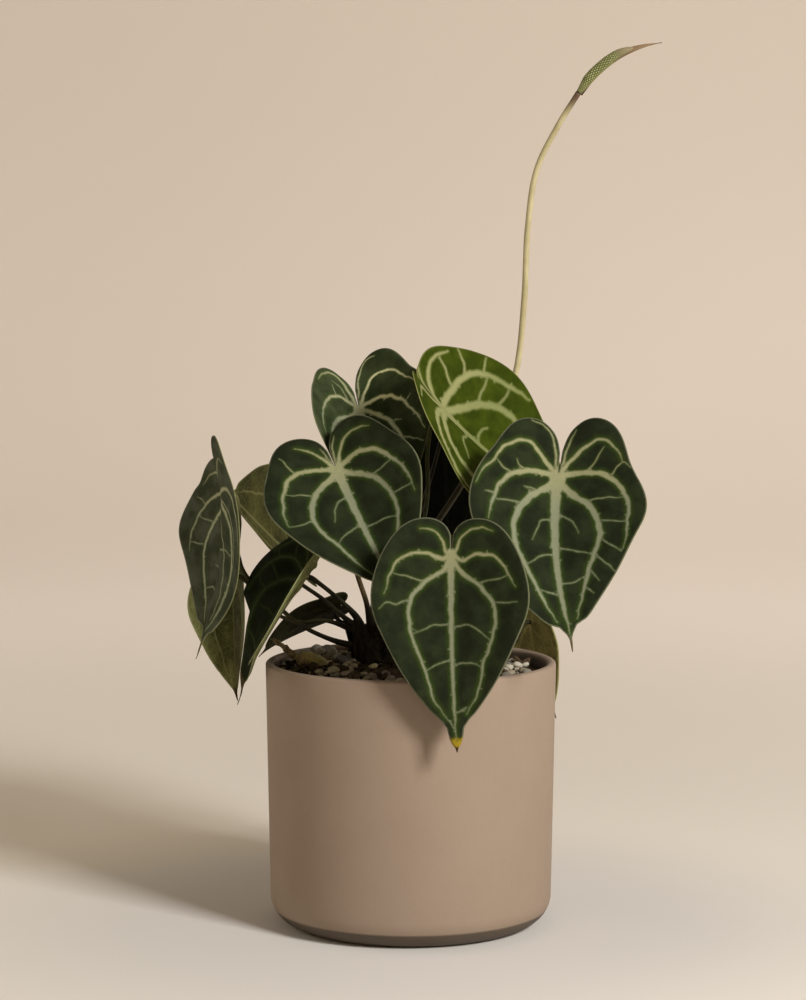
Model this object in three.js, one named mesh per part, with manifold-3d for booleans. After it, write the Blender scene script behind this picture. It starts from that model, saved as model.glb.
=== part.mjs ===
// Potted anthurium clarinervium: eleven velvety heart-shaped leaves, one flower
// stalk and a short rhizome standing in gritty mix, in a plain cylindrical pot.
// Millimetres, +Z up. The origin is the centre of the pot's flat base and the
// plant's front faces -Y.
import * as THREE from 'three';
import { mergeVertices } from 'three/addons/utils/BufferGeometryUtils.js';
import Module from 'manifold-3d';

const wasm = await Module();
wasm.setup();

// Driving dimensions of the pot
const potHeight = 127;
const potRadius = 70;
const potWall = 4;
const potDraft = 2;
const baseFillet = 14;
const floorThickness = 5;
const rimRounding = 1.6;
const gap = 0.3;

// Driving dimensions of the mix and the rhizome
const mixEdgeHeight = 121;
const moundHeight = 6.5;
const moundSpread = 46;
const gravelCount = 64;
const crownX = -17;
const crownY = 0;
const crownRadius = 10;
const crownTop = 146;
const crownFoot = 108;

// Driving dimensions of the leaves and stems
const bladeThickness = 0.9;
const bladeSpokes = 24;
const bladeRings = 5;
const sinusHalfAngle = 2.5;
const heartOutline = [
  [0, 1], [3, 0.894], [8, 0.82], [15, 0.737], [24, 0.653], [33, 0.585], [43, 0.535],
  [53, 0.503], [63, 0.462], [74, 0.413], [86, 0.368], [99, 0.33], [114, 0.301], [128, 0.273],
  [141, 0.24], [151, 0.212], [162, 0.172], [171, 0.132], [177.5, 0.095],
];

// Each leaf hangs from the top of its petiole at "at". "facing" turns the midrib
// round the vertical (0 is the front, 90 the right), "droop" lowers its tip and
// "roll" tips the blade sideways, in degrees. Pairs are left half, right half:
// "width" and "lobes" stretch the heart across and behind the petiole, "fold"
// raises each half from the midrib, "curl" bends it on, "arch" and "bend" curve
// the midrib, "lift" raises the lobes and "twist" turns the tip.
const leaves = {
  front: {
    at: [18.2, -73, 186.1], length: 89, facing: -6.1, droop: 82, roll: 4.6, arch: -5.4, bend: 4.8, twist: -1.2,
    width: [1.02, 1.05], lobes: [1.01, 1], fold: [13, 10.1], curl: 6.4, lift: -1.5,
  },
  right: {
    at: [68.5, -38, 218.5], length: 89, facing: -16, droop: 59, roll: -14, arch: -2, bend: 24, twist: 0,
    width: [1.18, 1.21], lobes: [1.64, 1.9], fold: [17, 16], curl: 8, lift: 4,
  },
  mid_left: {
    at: [-35.4, -18, 220.9], length: 85, facing: 33, droop: 49, roll: 23, arch: -20, bend: 0, twist: -7,
    width: [1.21, 1.13], lobes: [1.4, 1.42], fold: [4, 28], curl: 11, lift: -2,
  },
  top_left: {
    at: [-25.5, 38, 246.5], length: 85.5, facing: 16, droop: 45, roll: 10, arch: -5, bend: -8, twist: -1,
    width: [1.08, 1.25], lobes: [1.44, 1.85], fold: [36, 31], curl: 22, lift: 4,
  },
  young: {
    at: [16, -6, 247.5], length: 96, facing: 119, droop: 44, roll: 28, arch: -19, bend: 5, twist: 18,
    width: [1.15, 1.24], lobes: [1.99, 1.61], fold: [-7, 51], curl: -10, lift: 12,
  },
  far_left: {
    at: [-88.5, -28, 209], length: 79.5, facing: -103, droop: 93, roll: 2, arch: -26, bend: 2, twist: -16,
    width: [1.33, 0.93], lobes: [1.24, 1.99], fold: [29, -50], curl: 28, lift: 8,
  },
  far_left_low: {
    at: [-87.5, 20, 165.5], length: 61, facing: -126, droop: 91, roll: -10, arch: 5, bend: 5, twist: -2,
    width: [1.09, 1.08], lobes: [1.3, 1.3], fold: [16, 26], curl: 3, lift: 10,
  },
  hanging_left: {
    at: [-50.5, -22, 171], length: 79, facing: -97, droop: 51, roll: -31, arch: 45, bend: -22, twist: 5,
    width: [0.96, 1.12], lobes: [1.2, 1.32], fold: [25, 49], curl: -14, lift: 6,
  },
  back_left: {
    at: [-55, 38, 170.5], length: 90.5, facing: -149, droop: -20, roll: 64, arch: -4, bend: -3, twist: 20,
    width: [1.11, 1.17], lobes: [1.2, 1.2], fold: [16, 4], curl: 13, lift: 10,
  },
  low_left: {
    at: [-37.5, 34, 147.5], length: 48, facing: -120, droop: 20, roll: 20, arch: 12, bend: -6, twist: -18,
    width: [1.17, 1.08], lobes: [1.2, 1.36], fold: [1, 7], curl: -14, lift: 19,
  },
  back_right: {
    at: [60, 58, 139], length: 50.5, facing: 101, droop: 74, roll: 21, arch: -1, bend: -3, twist: 10,
    width: [1.1, 1.11], lobes: [1.2, 1.2], fold: [25, 17], curl: -1, lift: 10,
  },
  back_mid: {
    at: [17, 54, 236], length: 70, facing: 172, droop: 78, roll: 0, arch: 6, bend: 0, twist: 0,
    width: [1.18, 1.18], lobes: [1.1, 1.1], fold: [9, 9], curl: 8, lift: 5,
  },
};

// Each petiole leaves the rhizome at "from" (degrees round it, height), passes
// the points of "via" and meets its blade square to the underside after a
// straight "reach".
const petioles = {
  front: { width: 3.2, from: [-66, 138], via: [[-3, -28, 160], [10, -56, 174]], reach: 9 },
  right: { width: 3.2, from: [-30, 141], via: [[14, -16, 164], [44, -27, 186], [61, -27, 204]], reach: 8 },
  mid_left: { width: 3, from: [-108, 139], via: [[-21, -15, 156], [-26, -25, 174], [-30, -24, 200]], reach: 8 },
  top_left: { width: 3, from: [100, 142], via: [[-18, 16, 172], [-22, 38, 212]], reach: 9 },
  young: { width: 2.6, from: [20, 143], via: [[2, 2, 176], [8, -4, 207], [8, -8, 229]], reach: 6 },
  far_left: {
    width: 2.6, from: [184, 133], reach: 5,
    via: [[-38, -1, 137], [-55, 2, 145], [-70, 11, 157.5], [-78, 7, 165], [-82.5, -8, 178], [-81, -25, 198]],
  },
  far_left_low: { width: 2.4, from: [160, 139], via: [[-41, 9, 145], [-53, 12, 144], [-66, 17.5, 147.5], [-77, 20, 159]], reach: 4 },
  hanging_left: { width: 2.8, from: [-150, 141], via: [[-36.5, -6, 151], [-43, -12, 156.5]], reach: 6 },
  back_left: { width: 2.6, from: [135, 143], via: [[-32, 8, 151], [-42, 18, 158]], reach: 7 },
  low_left: { width: 2.4, from: [112, 136], via: [[-24, 18, 139]], reach: 5 },
  back_right: { width: 2.6, from: [32, 134], via: [[10, 12, 133], [36, 20, 130], [50, 30, 132]], reach: 6 },
  back_mid: { width: 2.6, from: [62, 142], via: [[-6, 15, 165], [5, 30, 197], [12, 38, 220]], reach: 7 },
};

// Driving dimensions of the flower stalk
const peduncleWidth = 2.8;
const peduncleRoute = [
  [-17, 0, 138], [-15.5, 2.5, 150], [3, 13, 178], [26, 23, 212], [43, 31, 243], [51.5, 33, 264.5], [55.5, 32, 300],
  [57, 29, 335], [61, 25, 363], [71, 20, 384], [80.5, 16, 399.5],
];
const spadixRoute = [[80.7, 16, 399.8], [86, 15, 407], [93, 14, 413.5], [99.5, 13, 418], [106, 12, 420.5]];
const spadixRadius = 2.5;
const spadixFlorets = 8;
const floretRelief = 0.18;
const spatheRoute = [[83, 15.5, 397.5], [90, 14.5, 405], [99.5, 13, 412.5], [108, 12, 418], [119, 11, 422.5]];
const spatheWidth = 4;
const spatheThickness = 0.8;

// Driving dimensions of the loose pieces on the mix
const deadRootRoute = [[-48, -9, 122], [-53, -5, 127.5], [-60, 2, 132], [-67, 9, 136]];
const deadRootWidth = 2.4;
const stoneAt = [-45, -2, 127.5];
const stoneHalfSizes = [7, 3.4, 2.6];
const stoneTilt = 16;

const radians = THREE.MathUtils.degToRad;
const smooth = (t) => THREE.MathUtils.smoothstep(t, 0, 1);
const asVector = (point) => new THREE.Vector3(...point);

// Evenly spread draws that come out the same on every run
function seededDraw(seed) {
  let state = seed;
  return () => {
    state = (state * 1664525 + 1013904223) % 4294967296;
    return state / 4294967296;
  };
}

// Solids for joining and cutting
function toSolid(geometry) {
  const bare = new THREE.BufferGeometry();
  bare.setAttribute('position', geometry.getAttribute('position'));
  if (geometry.index) {
    bare.setIndex(geometry.index);
  }
  const merged = mergeVertices(bare, 1e-3);
  const index = merged.index.array;
  const kept = [];
  for (let i = 0; i < index.length; i += 3) {
    const [a, b, c] = [index[i], index[i + 1], index[i + 2]];
    if (a !== b && b !== c && c !== a) {
      kept.push(a, b, c);
    }
  }
  const vertProperties = new Float32Array(merged.getAttribute('position').array);
  return new wasm.Manifold(new wasm.Mesh({ numProp: 3, vertProperties, triVerts: new Uint32Array(kept) }));
}

function toGeometry(solid) {
  const mesh = solid.getMesh();
  const geometry = new THREE.BufferGeometry();
  geometry.setAttribute('position', new THREE.BufferAttribute(mesh.vertProperties, 3));
  geometry.setIndex(new THREE.BufferAttribute(mesh.triVerts, 1));
  return geometry;
}

// A turned shape standing on +Z, from [radius, height] points
function turned(profile, segments) {
  const points = profile.map(([radius, height]) => new THREE.Vector2(radius, height));
  return new THREE.LatheGeometry(points, segments).rotateX(Math.PI / 2);
}

// Part of an ellipse in a profile, angles in degrees
function arc(centreRadius, centreHeight, acrossRadius, uprightRadius, start, end, steps) {
  const points = [];
  for (let i = 0; i <= steps; i += 1) {
    const angle = radians(start + ((end - start) * i) / steps);
    points.push([centreRadius + acrossRadius * Math.cos(angle), centreHeight + uprightRadius * Math.sin(angle)]);
  }
  return points;
}

function potGeometry() {
  const foot = potRadius - potDraft - baseFillet;
  const lipCentre = potRadius - potWall / 2;
  const inside = potRadius - potWall;
  const profile = [
    [0, 0],
    ...arc(foot, baseFillet, baseFillet, baseFillet, -90, 0, 5),
    ...arc(lipCentre, potHeight - rimRounding, potWall / 2, rimRounding, 0, 180, 4),
    [inside - potDraft, baseFillet + floorThickness],
    ...arc(foot - floorThickness, baseFillet + 2, baseFillet, baseFillet + 2 - floorThickness, -35, -90, 2),
    [0, floorThickness],
  ];
  return turned(profile, 52);
}

function rhizomeProfile(clearance) {
  const shoulder = crownTop - 7;
  return [
    [0, crownFoot - clearance],
    [crownRadius * 0.8 + clearance, crownFoot - clearance],
    [crownRadius + clearance, crownFoot + 12],
    [crownRadius * 1.08 + clearance, shoulder - 8],
    [crownRadius * 0.96 + clearance, shoulder],
    [crownRadius * 0.62 + clearance, crownTop - 2],
    [0, crownTop + clearance],
  ];
}

function rhizomeBody(clearance) {
  return toSolid(turned(rhizomeProfile(clearance), 18).translate(crownX, crownY, 0));
}

function moundAt(x, y) {
  const distance = Math.hypot(x - crownX, y - crownY);
  return mixEdgeHeight + moundHeight * Math.exp(-((distance / moundSpread) ** 2));
}

// One rounded stone with flat facets
function pebble(halfSizes, turn, tilt, centre) {
  const geometry = new THREE.IcosahedronGeometry(1, 0);
  geometry.scale(...halfSizes);
  geometry.rotateY(tilt);
  geometry.rotateZ(turn);
  return geometry.translate(...centre);
}

// Gravel lies all over the mound, a little looser towards the wall
function mixSolid(cutters) {
  const inside = potRadius - potWall - gap * 2;
  const floor = floorThickness + gap * 2;
  const profile = [[0, floor], [inside - potDraft - baseFillet * 0.9, floor]];
  profile.push([inside - potDraft - 1, baseFillet + floorThickness], [inside - 0.3, mixEdgeHeight]);
  for (const share of [0.8, 0.6, 0.4, 0.2, 0]) {
    profile.push([inside * share, mixEdgeHeight]);
  }
  const body = turned(profile, 32);
  const positions = body.getAttribute('position');
  for (let i = 0; i < positions.count; i += 1) {
    if (positions.getZ(i) > mixEdgeHeight - 1) {
      positions.setZ(i, moundAt(positions.getX(i), positions.getY(i)));
    }
  }
  let solid = toSolid(body);
  const draw = seededDraw(11);
  for (let i = 0; i < gravelCount; i += 1) {
    const radius = (inside - 5) * Math.sqrt(0.06 + (0.94 * (i + draw())) / gravelCount);
    const angle = i * 2.39996 + draw() * 0.5;
    const x = radius * Math.cos(angle);
    const y = radius * Math.sin(angle);
    const size = 2.4 + draw() * 2;
    const turn = draw() * Math.PI;
    if (Math.hypot(x - crownX, y - crownY) > crownRadius + 7) {
      const centre = [x, y, moundAt(x, y) + size * 0.12];
      solid = solid.add(toSolid(pebble([size, size * 0.8, size * 0.6], turn, 0, centre)));
    }
  }
  for (const cutter of cutters) {
    solid = solid.subtract(cutter);
  }
  return solid;
}

// The leaf's own directions where the petiole meets it: along the midrib, across
// to its right half, and up out of its upper face
function leafFrame(leaf) {
  const up = new THREE.Vector3(0, 0, 1);
  const along = new THREE.Vector3(0, -1, 0).applyAxisAngle(up, radians(leaf.facing));
  const across = new THREE.Vector3(1, 0, 0).applyAxisAngle(up, radians(leaf.facing));
  along.applyAxisAngle(across, radians(leaf.droop));
  const normal = new THREE.Vector3().crossVectors(along, across);
  across.applyAxisAngle(along, radians(leaf.roll));
  normal.applyAxisAngle(along, radians(leaf.roll));
  return { along, across, normal };
}

function heartRadius(degrees) {
  const last = heartOutline.length - 1;
  const next = Math.max(1, heartOutline.findIndex(([angle]) => angle >= degrees));
  const [a, b] = [heartOutline[Math.min(next, last) - 1], heartOutline[Math.min(next, last)]];
  return a[1] + ((b[1] - a[1]) * (degrees - a[0])) / (b[0] - a[0]);
}

// Flat place on a blade: distance across and along for an angle from the tip and
// a share of the way out from the petiole
function flatPlace(leaf, angle, share) {
  const side = angle < 0 ? 0 : 1;
  const reach = heartRadius(Math.abs(angle)) * leaf.length * share;
  const across = reach * Math.sin(radians(angle)) * leaf.width[side];
  const along = reach * Math.cos(radians(angle));
  const lobe = 1 + (leaf.lobes[side] - 1) * smooth(-along / (0.16 * leaf.length));
  return [across, along * lobe];
}

// A flat place carried onto the curved blade, raised out of it by "height"
function bladePoint(leaf, frame, across, along, height) {
  const steps = 12;
  const share = along / leaf.length;
  const pitchAt = (s) => (s >= 0 ? radians(leaf.arch) * Math.min(s, 1.2) : radians(leaf.lift) * smooth(-s / 0.12));
  const yawAt = (s) => radians(leaf.bend) * THREE.MathUtils.clamp(s, 0, 1.2);
  let [forward, sideways, upward] = [0, 0, 0];
  for (let i = 0; i < steps; i += 1) {
    const s = (share * (i + 0.5)) / steps;
    forward += (Math.cos(pitchAt(s)) * Math.cos(yawAt(s)) * along) / steps;
    sideways += (Math.cos(pitchAt(s)) * Math.sin(yawAt(s)) * along) / steps;
    upward -= (Math.sin(pitchAt(s)) * along) / steps;
  }
  const pitch = pitchAt(share);
  const yaw = yawAt(share);
  const normal = frame.normal.clone().multiplyScalar(Math.cos(pitch)).addScaledVector(frame.along, Math.sin(pitch));
  const side = frame.across.clone().multiplyScalar(Math.cos(yaw));
  side.addScaledVector(frame.along, -Math.sin(yaw) * Math.cos(pitch));
  side.addScaledVector(frame.normal, Math.sin(yaw) * Math.sin(pitch));
  const turn = radians(leaf.twist) * share;
  const twistedSide = side.clone().multiplyScalar(Math.cos(turn)).addScaledVector(normal, Math.sin(turn));
  const twistedNormal = normal.clone().multiplyScalar(Math.cos(turn)).addScaledVector(side, -Math.sin(turn));

  const half = across < 0 ? 0 : 1;
  const width = Math.abs(across);
  const sign = across < 0 ? -1 : 1;
  const angleAt = (w) => radians(leaf.fold[half]) * smooth(w / (0.1 * leaf.length))
    + (radians(leaf.curl) * w) / (0.41 * leaf.length);
  let [outward, raised] = [0, 0];
  for (let i = 0; i < steps; i += 1) {
    const w = (width * (i + 0.5)) / steps;
    outward += (Math.cos(angleAt(w)) * width) / steps;
    raised += (Math.sin(angleAt(w)) * width) / steps;
  }
  const lean = angleAt(width);
  outward -= height * Math.sin(lean);
  raised += height * Math.cos(lean);
  return asVector(leaf.at)
    .addScaledVector(frame.along, forward)
    .addScaledVector(frame.across, sideways)
    .addScaledVector(frame.normal, upward)
    .addScaledVector(twistedSide, sign * outward)
    .addScaledVector(twistedNormal, raised);
}

// A thin closed sheet: placeAt(column, row, face) gives its points, with face +1
// on top and -1 below, and both faces are split into triangles alike
function sheetGeometry(columns, rows, placeAt) {
  const positions = [];
  const index = [];
  const at = (column, row, face) => (face * (columns + 1) + column) * (rows + 1) + row;
  for (const face of [1, -1]) {
    for (let column = 0; column <= columns; column += 1) {
      for (let row = 0; row <= rows; row += 1) {
        positions.push(...placeAt(column, row, face).toArray());
      }
    }
  }
  const square = (a, b, c, d) => index.push(a, b, c, a, c, d);
  for (let column = 0; column < columns; column += 1) {
    for (let row = 0; row < rows; row += 1) {
      const corners = [[column, row], [column, row + 1], [column + 1, row + 1], [column + 1, row]];
      const top = corners.map(([i, j]) => at(i, j, 0));
      const [a, b, c, d] = corners.map(([i, j]) => at(i, j, 1));
      square(...top);
      index.push(a, c, b, a, d, c);
    }
    square(at(column, 0, 0), at(column + 1, 0, 0), at(column + 1, 0, 1), at(column, 0, 1));
    square(at(column, rows, 0), at(column, rows, 1), at(column + 1, rows, 1), at(column + 1, rows, 0));
  }
  for (let row = 0; row < rows; row += 1) {
    square(at(0, row, 0), at(0, row, 1), at(0, row + 1, 1), at(0, row + 1, 0));
    square(at(columns, row, 0), at(columns, row + 1, 0), at(columns, row + 1, 1), at(columns, row, 1));
  }
  const geometry = new THREE.BufferGeometry();
  geometry.setAttribute('position', new THREE.Float32BufferAttribute(positions, 3));
  geometry.setIndex(index);
  return geometry;
}

// A heart blade spread from one side of the slit between its lobes, round the
// tip, to the other, with closer spokes at the tip
function bladeGeometry(leaf) {
  const frame = leafFrame(leaf);
  const innerShare = 1 / leaf.length;
  return sheetGeometry(bladeSpokes, bladeRings, (column, row, face) => {
    const turn = (2 * column) / bladeSpokes - 1;
    const angle = Math.sign(turn) * Math.abs(turn) ** 1.25 * (180 - sinusHalfAngle);
    const share = innerShare + ((1 - innerShare) * row) / bladeRings;
    const [across, along] = flatPlace(leaf, angle, share);
    return bladePoint(leaf, frame, across, along, (face * bladeThickness) / 2);
  });
}

// A round stem along a smooth curve through its points
function stemGeometry(points, width, sides = 6) {
  const outline = new THREE.Shape().absarc(0, 0, width / 2, 0, Math.PI * 2);
  const route = new THREE.CatmullRomCurve3(points, false, 'centripetal');
  const steps = Math.max(8, Math.round(route.getLength() / 12));
  return new THREE.ExtrudeGeometry(outline, { steps, curveSegments: sides / 2, extrudePath: route });
}

// The points of one petiole, from inside the rhizome to just under its blade
function petiolePoints(name) {
  const { from, via, reach } = petioles[name];
  const leaf = leaves[name];
  const below = leafFrame(leaf).normal.negate();
  const [turn, height] = from;
  const outward = new THREE.Vector3(Math.cos(radians(turn)), Math.sin(radians(turn)), 0);
  const start = new THREE.Vector3(crownX, crownY, height).addScaledVector(outward, crownRadius - 4.5);
  const end = asVector(leaf.at).addScaledVector(below, bladeThickness / 2 + gap);
  const approach = end.clone().addScaledVector(below, reach);
  return [start, ...via.map(asVector), approach, end];
}

// A stem's plain hole: the same route, begun a little deeper and made wider
function socketCutter(points, width) {
  const back = points[0].clone().sub(points[1]).normalize();
  const deeper = [points[0].clone().addScaledVector(back, gap * 2), ...points.slice(1)];
  return toSolid(stemGeometry(deeper, width + gap * 3));
}

// The spadix: a tapering finger with low ridges winding round it, bent along its
// route
function spadixGeometry() {
  const route = new THREE.CatmullRomCurve3(spadixRoute.map(asVector));
  const rows = 26;
  const profile = [[0, 0]];
  for (let i = 0; i <= rows; i += 1) {
    const share = i / rows;
    const taper = Math.min(1, 0.72 + share * 3, Math.sqrt(Math.max(0, 1 - share ** 5)) + 0.12);
    profile.push([spadixRadius * taper, share]);
  }
  profile.push([0, 1]);
  const geometry = turned(profile, 16);
  const positions = geometry.getAttribute('position');
  const side = new THREE.Vector3(0, 1, 0);
  for (let i = 0; i < positions.count; i += 1) {
    const [x, y] = [positions.getX(i), positions.getY(i)];
    const share = THREE.MathUtils.clamp(positions.getZ(i), 0, 1);
    const turn = Math.atan2(y, x);
    const ridge = 1 + (floretRelief / spadixRadius) * Math.cos(spadixFlorets * turn + share * 60);
    const tangent = route.getTangentAt(share);
    const upright = new THREE.Vector3().crossVectors(side, tangent).normalize();
    const point = route.getPointAt(share)
      .addScaledVector(upright, x * ridge)
      .addScaledVector(side, y * ridge);
    positions.setXYZ(i, point.x, point.y, point.z);
  }
  return geometry;
}

// The spathe: a narrow pointed bract lying along the underside of the spadix
function spatheGeometry() {
  const route = new THREE.CatmullRomCurve3(spatheRoute.map(asVector));
  const side = new THREE.Vector3(0, 1, 0);
  const rows = 10;
  return sheetGeometry(2, rows, (column, row, face) => {
    const share = row / rows;
    const halfWidth = (spatheWidth / 2) * Math.max(0.14, Math.sin(Math.PI * (0.25 + 0.72 * share)));
    const tangent = route.getTangentAt(share);
    const upright = new THREE.Vector3().crossVectors(side, tangent).normalize();
    const edge = column - 1;
    return route.getPointAt(share)
      .addScaledVector(side, -edge * halfWidth)
      .addScaledVector(upright, 0.5 * edge * edge + (face * spatheThickness) / 2);
  });
}

// One named mesh with its own material
function addPiece(group, name, geometry, colour, roughness) {
  const material = new THREE.MeshStandardMaterial({ color: colour, roughness, metalness: 0 });
  const mesh = new THREE.Mesh(geometry, material);
  mesh.name = name;
  group.add(mesh);
}

const plant = new THREE.Group();
const stemRoutes = Object.keys(petioles).map((name) => [petiolePoints(name), petioles[name].width]);
const peduncle = peduncleRoute.map(asVector);
stemRoutes.push([peduncle, peduncleWidth]);

let rhizome = rhizomeBody(0);
for (const [points, width] of stemRoutes) {
  rhizome = rhizome.subtract(socketCutter(points, width));
}
const stonePiece = pebble(stoneHalfSizes, 0, radians(stoneTilt), stoneAt);
const stoneRecess = pebble(stoneHalfSizes.map((size) => size + gap), 0, radians(stoneTilt), stoneAt);
const deadRoot = deadRootRoute.map(asVector);
const mix = mixSolid([
  rhizomeBody(gap),
  toSolid(stoneRecess),
  socketCutter(deadRoot, deadRootWidth),
]);

addPiece(plant, 'pot', potGeometry(), 0x9b8471, 0.75);
addPiece(plant, 'potting_mix', toGeometry(mix), 0x3a2f24, 0.95);
addPiece(plant, 'rhizome', toGeometry(rhizome), 0x33271a, 0.9);
for (const name of Object.keys(leaves)) {
  const colour = name === 'young' ? 0x4d6120 : 0x252d1f;
  addPiece(plant, `leaf_${name}`, bladeGeometry(leaves[name]), colour, 0.6);
  addPiece(plant, `petiole_${name}`, stemGeometry(petiolePoints(name), petioles[name].width), 0x3c3c22, 0.6);
}
addPiece(plant, 'peduncle', stemGeometry(peduncle, peduncleWidth), 0x8f8f5e, 0.6);
addPiece(plant, 'spadix', spadixGeometry(), 0x6b7a35, 0.6);
addPiece(plant, 'spathe', spatheGeometry(), 0x5a3f35, 0.6);
addPiece(plant, 'dead_root', stemGeometry(deadRoot, deadRootWidth), 0x4f3c28, 0.9);
addPiece(plant, 'yellow_stone', stonePiece, 0xa39457, 0.8);

export default plant;
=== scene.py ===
# Potted anthurium clarinervium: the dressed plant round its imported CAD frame.
# Lengths are in millimetres and angles in degrees until a mesh is made, which is in metres.
import bpy
import math
import numpy as np
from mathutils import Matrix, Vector, noise
from mathutils.geometry import delaunay_2d_cdt


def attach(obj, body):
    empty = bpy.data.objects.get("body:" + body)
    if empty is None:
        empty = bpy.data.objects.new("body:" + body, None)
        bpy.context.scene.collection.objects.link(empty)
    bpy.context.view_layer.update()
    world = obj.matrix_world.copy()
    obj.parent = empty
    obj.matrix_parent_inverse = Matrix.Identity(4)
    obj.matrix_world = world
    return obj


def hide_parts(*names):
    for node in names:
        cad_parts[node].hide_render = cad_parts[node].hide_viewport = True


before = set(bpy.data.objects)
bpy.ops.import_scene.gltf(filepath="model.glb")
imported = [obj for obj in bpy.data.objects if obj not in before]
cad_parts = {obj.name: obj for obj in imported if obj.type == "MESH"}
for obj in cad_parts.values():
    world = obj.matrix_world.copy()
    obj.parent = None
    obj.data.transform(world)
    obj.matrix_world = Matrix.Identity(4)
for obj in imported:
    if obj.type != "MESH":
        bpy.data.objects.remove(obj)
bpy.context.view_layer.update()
mm = 0.001
upward = np.array([0.0, 0.0, 1.0])


def smoothStep(t):
    t = np.clip(t, 0, 1)
    return t * t * (3 - 2 * t)


def unit(vectors):
    vectors = np.asarray(vectors, float)
    return vectors / np.maximum(np.linalg.norm(vectors, axis=-1, keepdims=True), 1e-9)


def colour(code):
    parts = [int(code[i:i + 2], 16) / 255 for i in (1, 3, 5)]
    return [c / 12.92 if c <= 0.04045 else ((c + 0.055) / 1.055) ** 2.4 for c in parts] + [1.0]


# The surface colour that looks like this one where the light falls at the given strength
def seen(code, strength=1.35):
    return [c / strength for c in colour(code)[:3]] + [1.0]


def addNode(tree, kind, inputs=None, **settings):
    node = tree.nodes.new("ShaderNode" + kind)
    for name, value in settings.items():
        setattr(node, name, value)
    for key, value in (inputs or {}).items():
        if isinstance(value, bpy.types.NodeSocket):
            tree.links.new(value, node.inputs[key])
        else:
            node.inputs[key].default_value = value
    return node


def calc(tree, operation, a, b=0.5, clamp=False):
    return addNode(tree, "Math", {0: a, 1: b}, operation=operation, use_clamp=clamp).outputs[0]


def blend(tree, mask, a, b, way="MIX"):
    node = addNode(tree, "Mix", {0: mask, 6: a, 7: b}, data_type="RGBA", blend_type=way)
    return node.outputs[2]


def ramp(tree, value, fromLow, fromHigh, toLow=0.0, toHigh=1.0):
    inputs = {0: value, 1: fromLow, 2: fromHigh, 3: toLow, 4: toHigh}
    return addNode(tree, "MapRange", inputs, interpolation_type="SMOOTHSTEP").outputs[0]


def noiseAt(tree, where, scale, detail=3.0, roughness=0.55):
    inputs = {"Vector": where, "Scale": scale, "Detail": detail, "Roughness": roughness}
    return addNode(tree, "TexNoise", inputs).outputs[0]


def attribute(tree, name):
    return addNode(tree, "Attribute", attribute_name=name)


# A shader group with named inputs [(name, kind, value)] and outputs [(name, kind)]
def newGroup(name, inputs, outputs):
    tree = bpy.data.node_groups.new(name, "ShaderNodeTree")
    for label, kind, value in inputs:
        socket = tree.interface.new_socket(name=label, in_out="INPUT", socket_type="NodeSocket" + kind)
        socket.default_value = value
    for label, kind in outputs:
        tree.interface.new_socket(name=label, in_out="OUTPUT", socket_type="NodeSocket" + kind)
    return tree, tree.nodes.new("NodeGroupInput").outputs, tree.nodes.new("NodeGroupOutput").inputs


def useGroup(tree, group, inputs):
    node = tree.nodes.new("ShaderNodeGroup")
    node.node_tree = group
    for key, value in inputs.items():
        if isinstance(value, bpy.types.NodeSocket):
            tree.links.new(value, node.inputs[key])
        else:
            node.inputs[key].default_value = value
    return node.outputs


# A material with its Principled shader, ready for the maker's own nodes
def newMaterial(name, **sockets):
    material = bpy.data.materials.new(name)
    material.use_nodes = True
    tree = material.node_tree
    shader = tree.nodes["Principled BSDF"]
    for label, value in sockets.items():
        shader.inputs[label.replace("_", " ")].default_value = value
    return material, tree, shader


def meshPlace(tree):
    return addNode(tree, "TexCoord").outputs["Object"]


# Gives a material its base colour and a fine bump, with the bump's depth in metres
def finishMaterial(material, tree, shader, base, height, strength, depth):
    tree.links.new(base, shader.inputs["Base Color"])
    bump = addNode(tree, "Bump", {"Strength": strength, "Distance": depth, "Height": height})
    tree.links.new(bump.outputs[0], shader.inputs["Normal"])
    return material


# A smooth line through points, evenly resampled, with each point's share of the way along
def lineThrough(points, spacing):
    points = np.asarray(points, float)
    padded = np.vstack([2 * points[0] - points[1], points, 2 * points[-1] - points[-2]])
    line = []
    for a, b, c, d in zip(padded, padded[1:], padded[2:], padded[3:]):
        spans = ((a, b), (b, c), (c, d))
        before, here, after = (max(np.linalg.norm(q - p), 1e-6) ** 0.5 for p, q in spans)
        startSlope = ((b - a) / before - (c - a) / (before + here) + (c - b) / here) * here
        endSlope = ((c - b) / here - (d - b) / (here + after) + (d - c) / after) * here
        t = np.linspace(0, 1, 24, endpoint=False)[:, None]
        line.append((2 * t**3 - 3 * t**2 + 1) * b + (t**3 - 2 * t**2 + t) * startSlope
                    + (3 * t**2 - 2 * t**3) * c + (t**3 - t**2) * endSlope)
    line = np.vstack(line + [points[-1:]])
    walked = np.concatenate([[0], np.cumsum(np.linalg.norm(np.diff(line, axis=0), axis=1))])
    count = max(2, int(round(walked[-1] / spacing)) + 1)
    shares = np.linspace(0, 1, count)
    return np.column_stack([np.interp(shares * walked[-1], walked, axis) for axis in line.T]), shares


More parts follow.
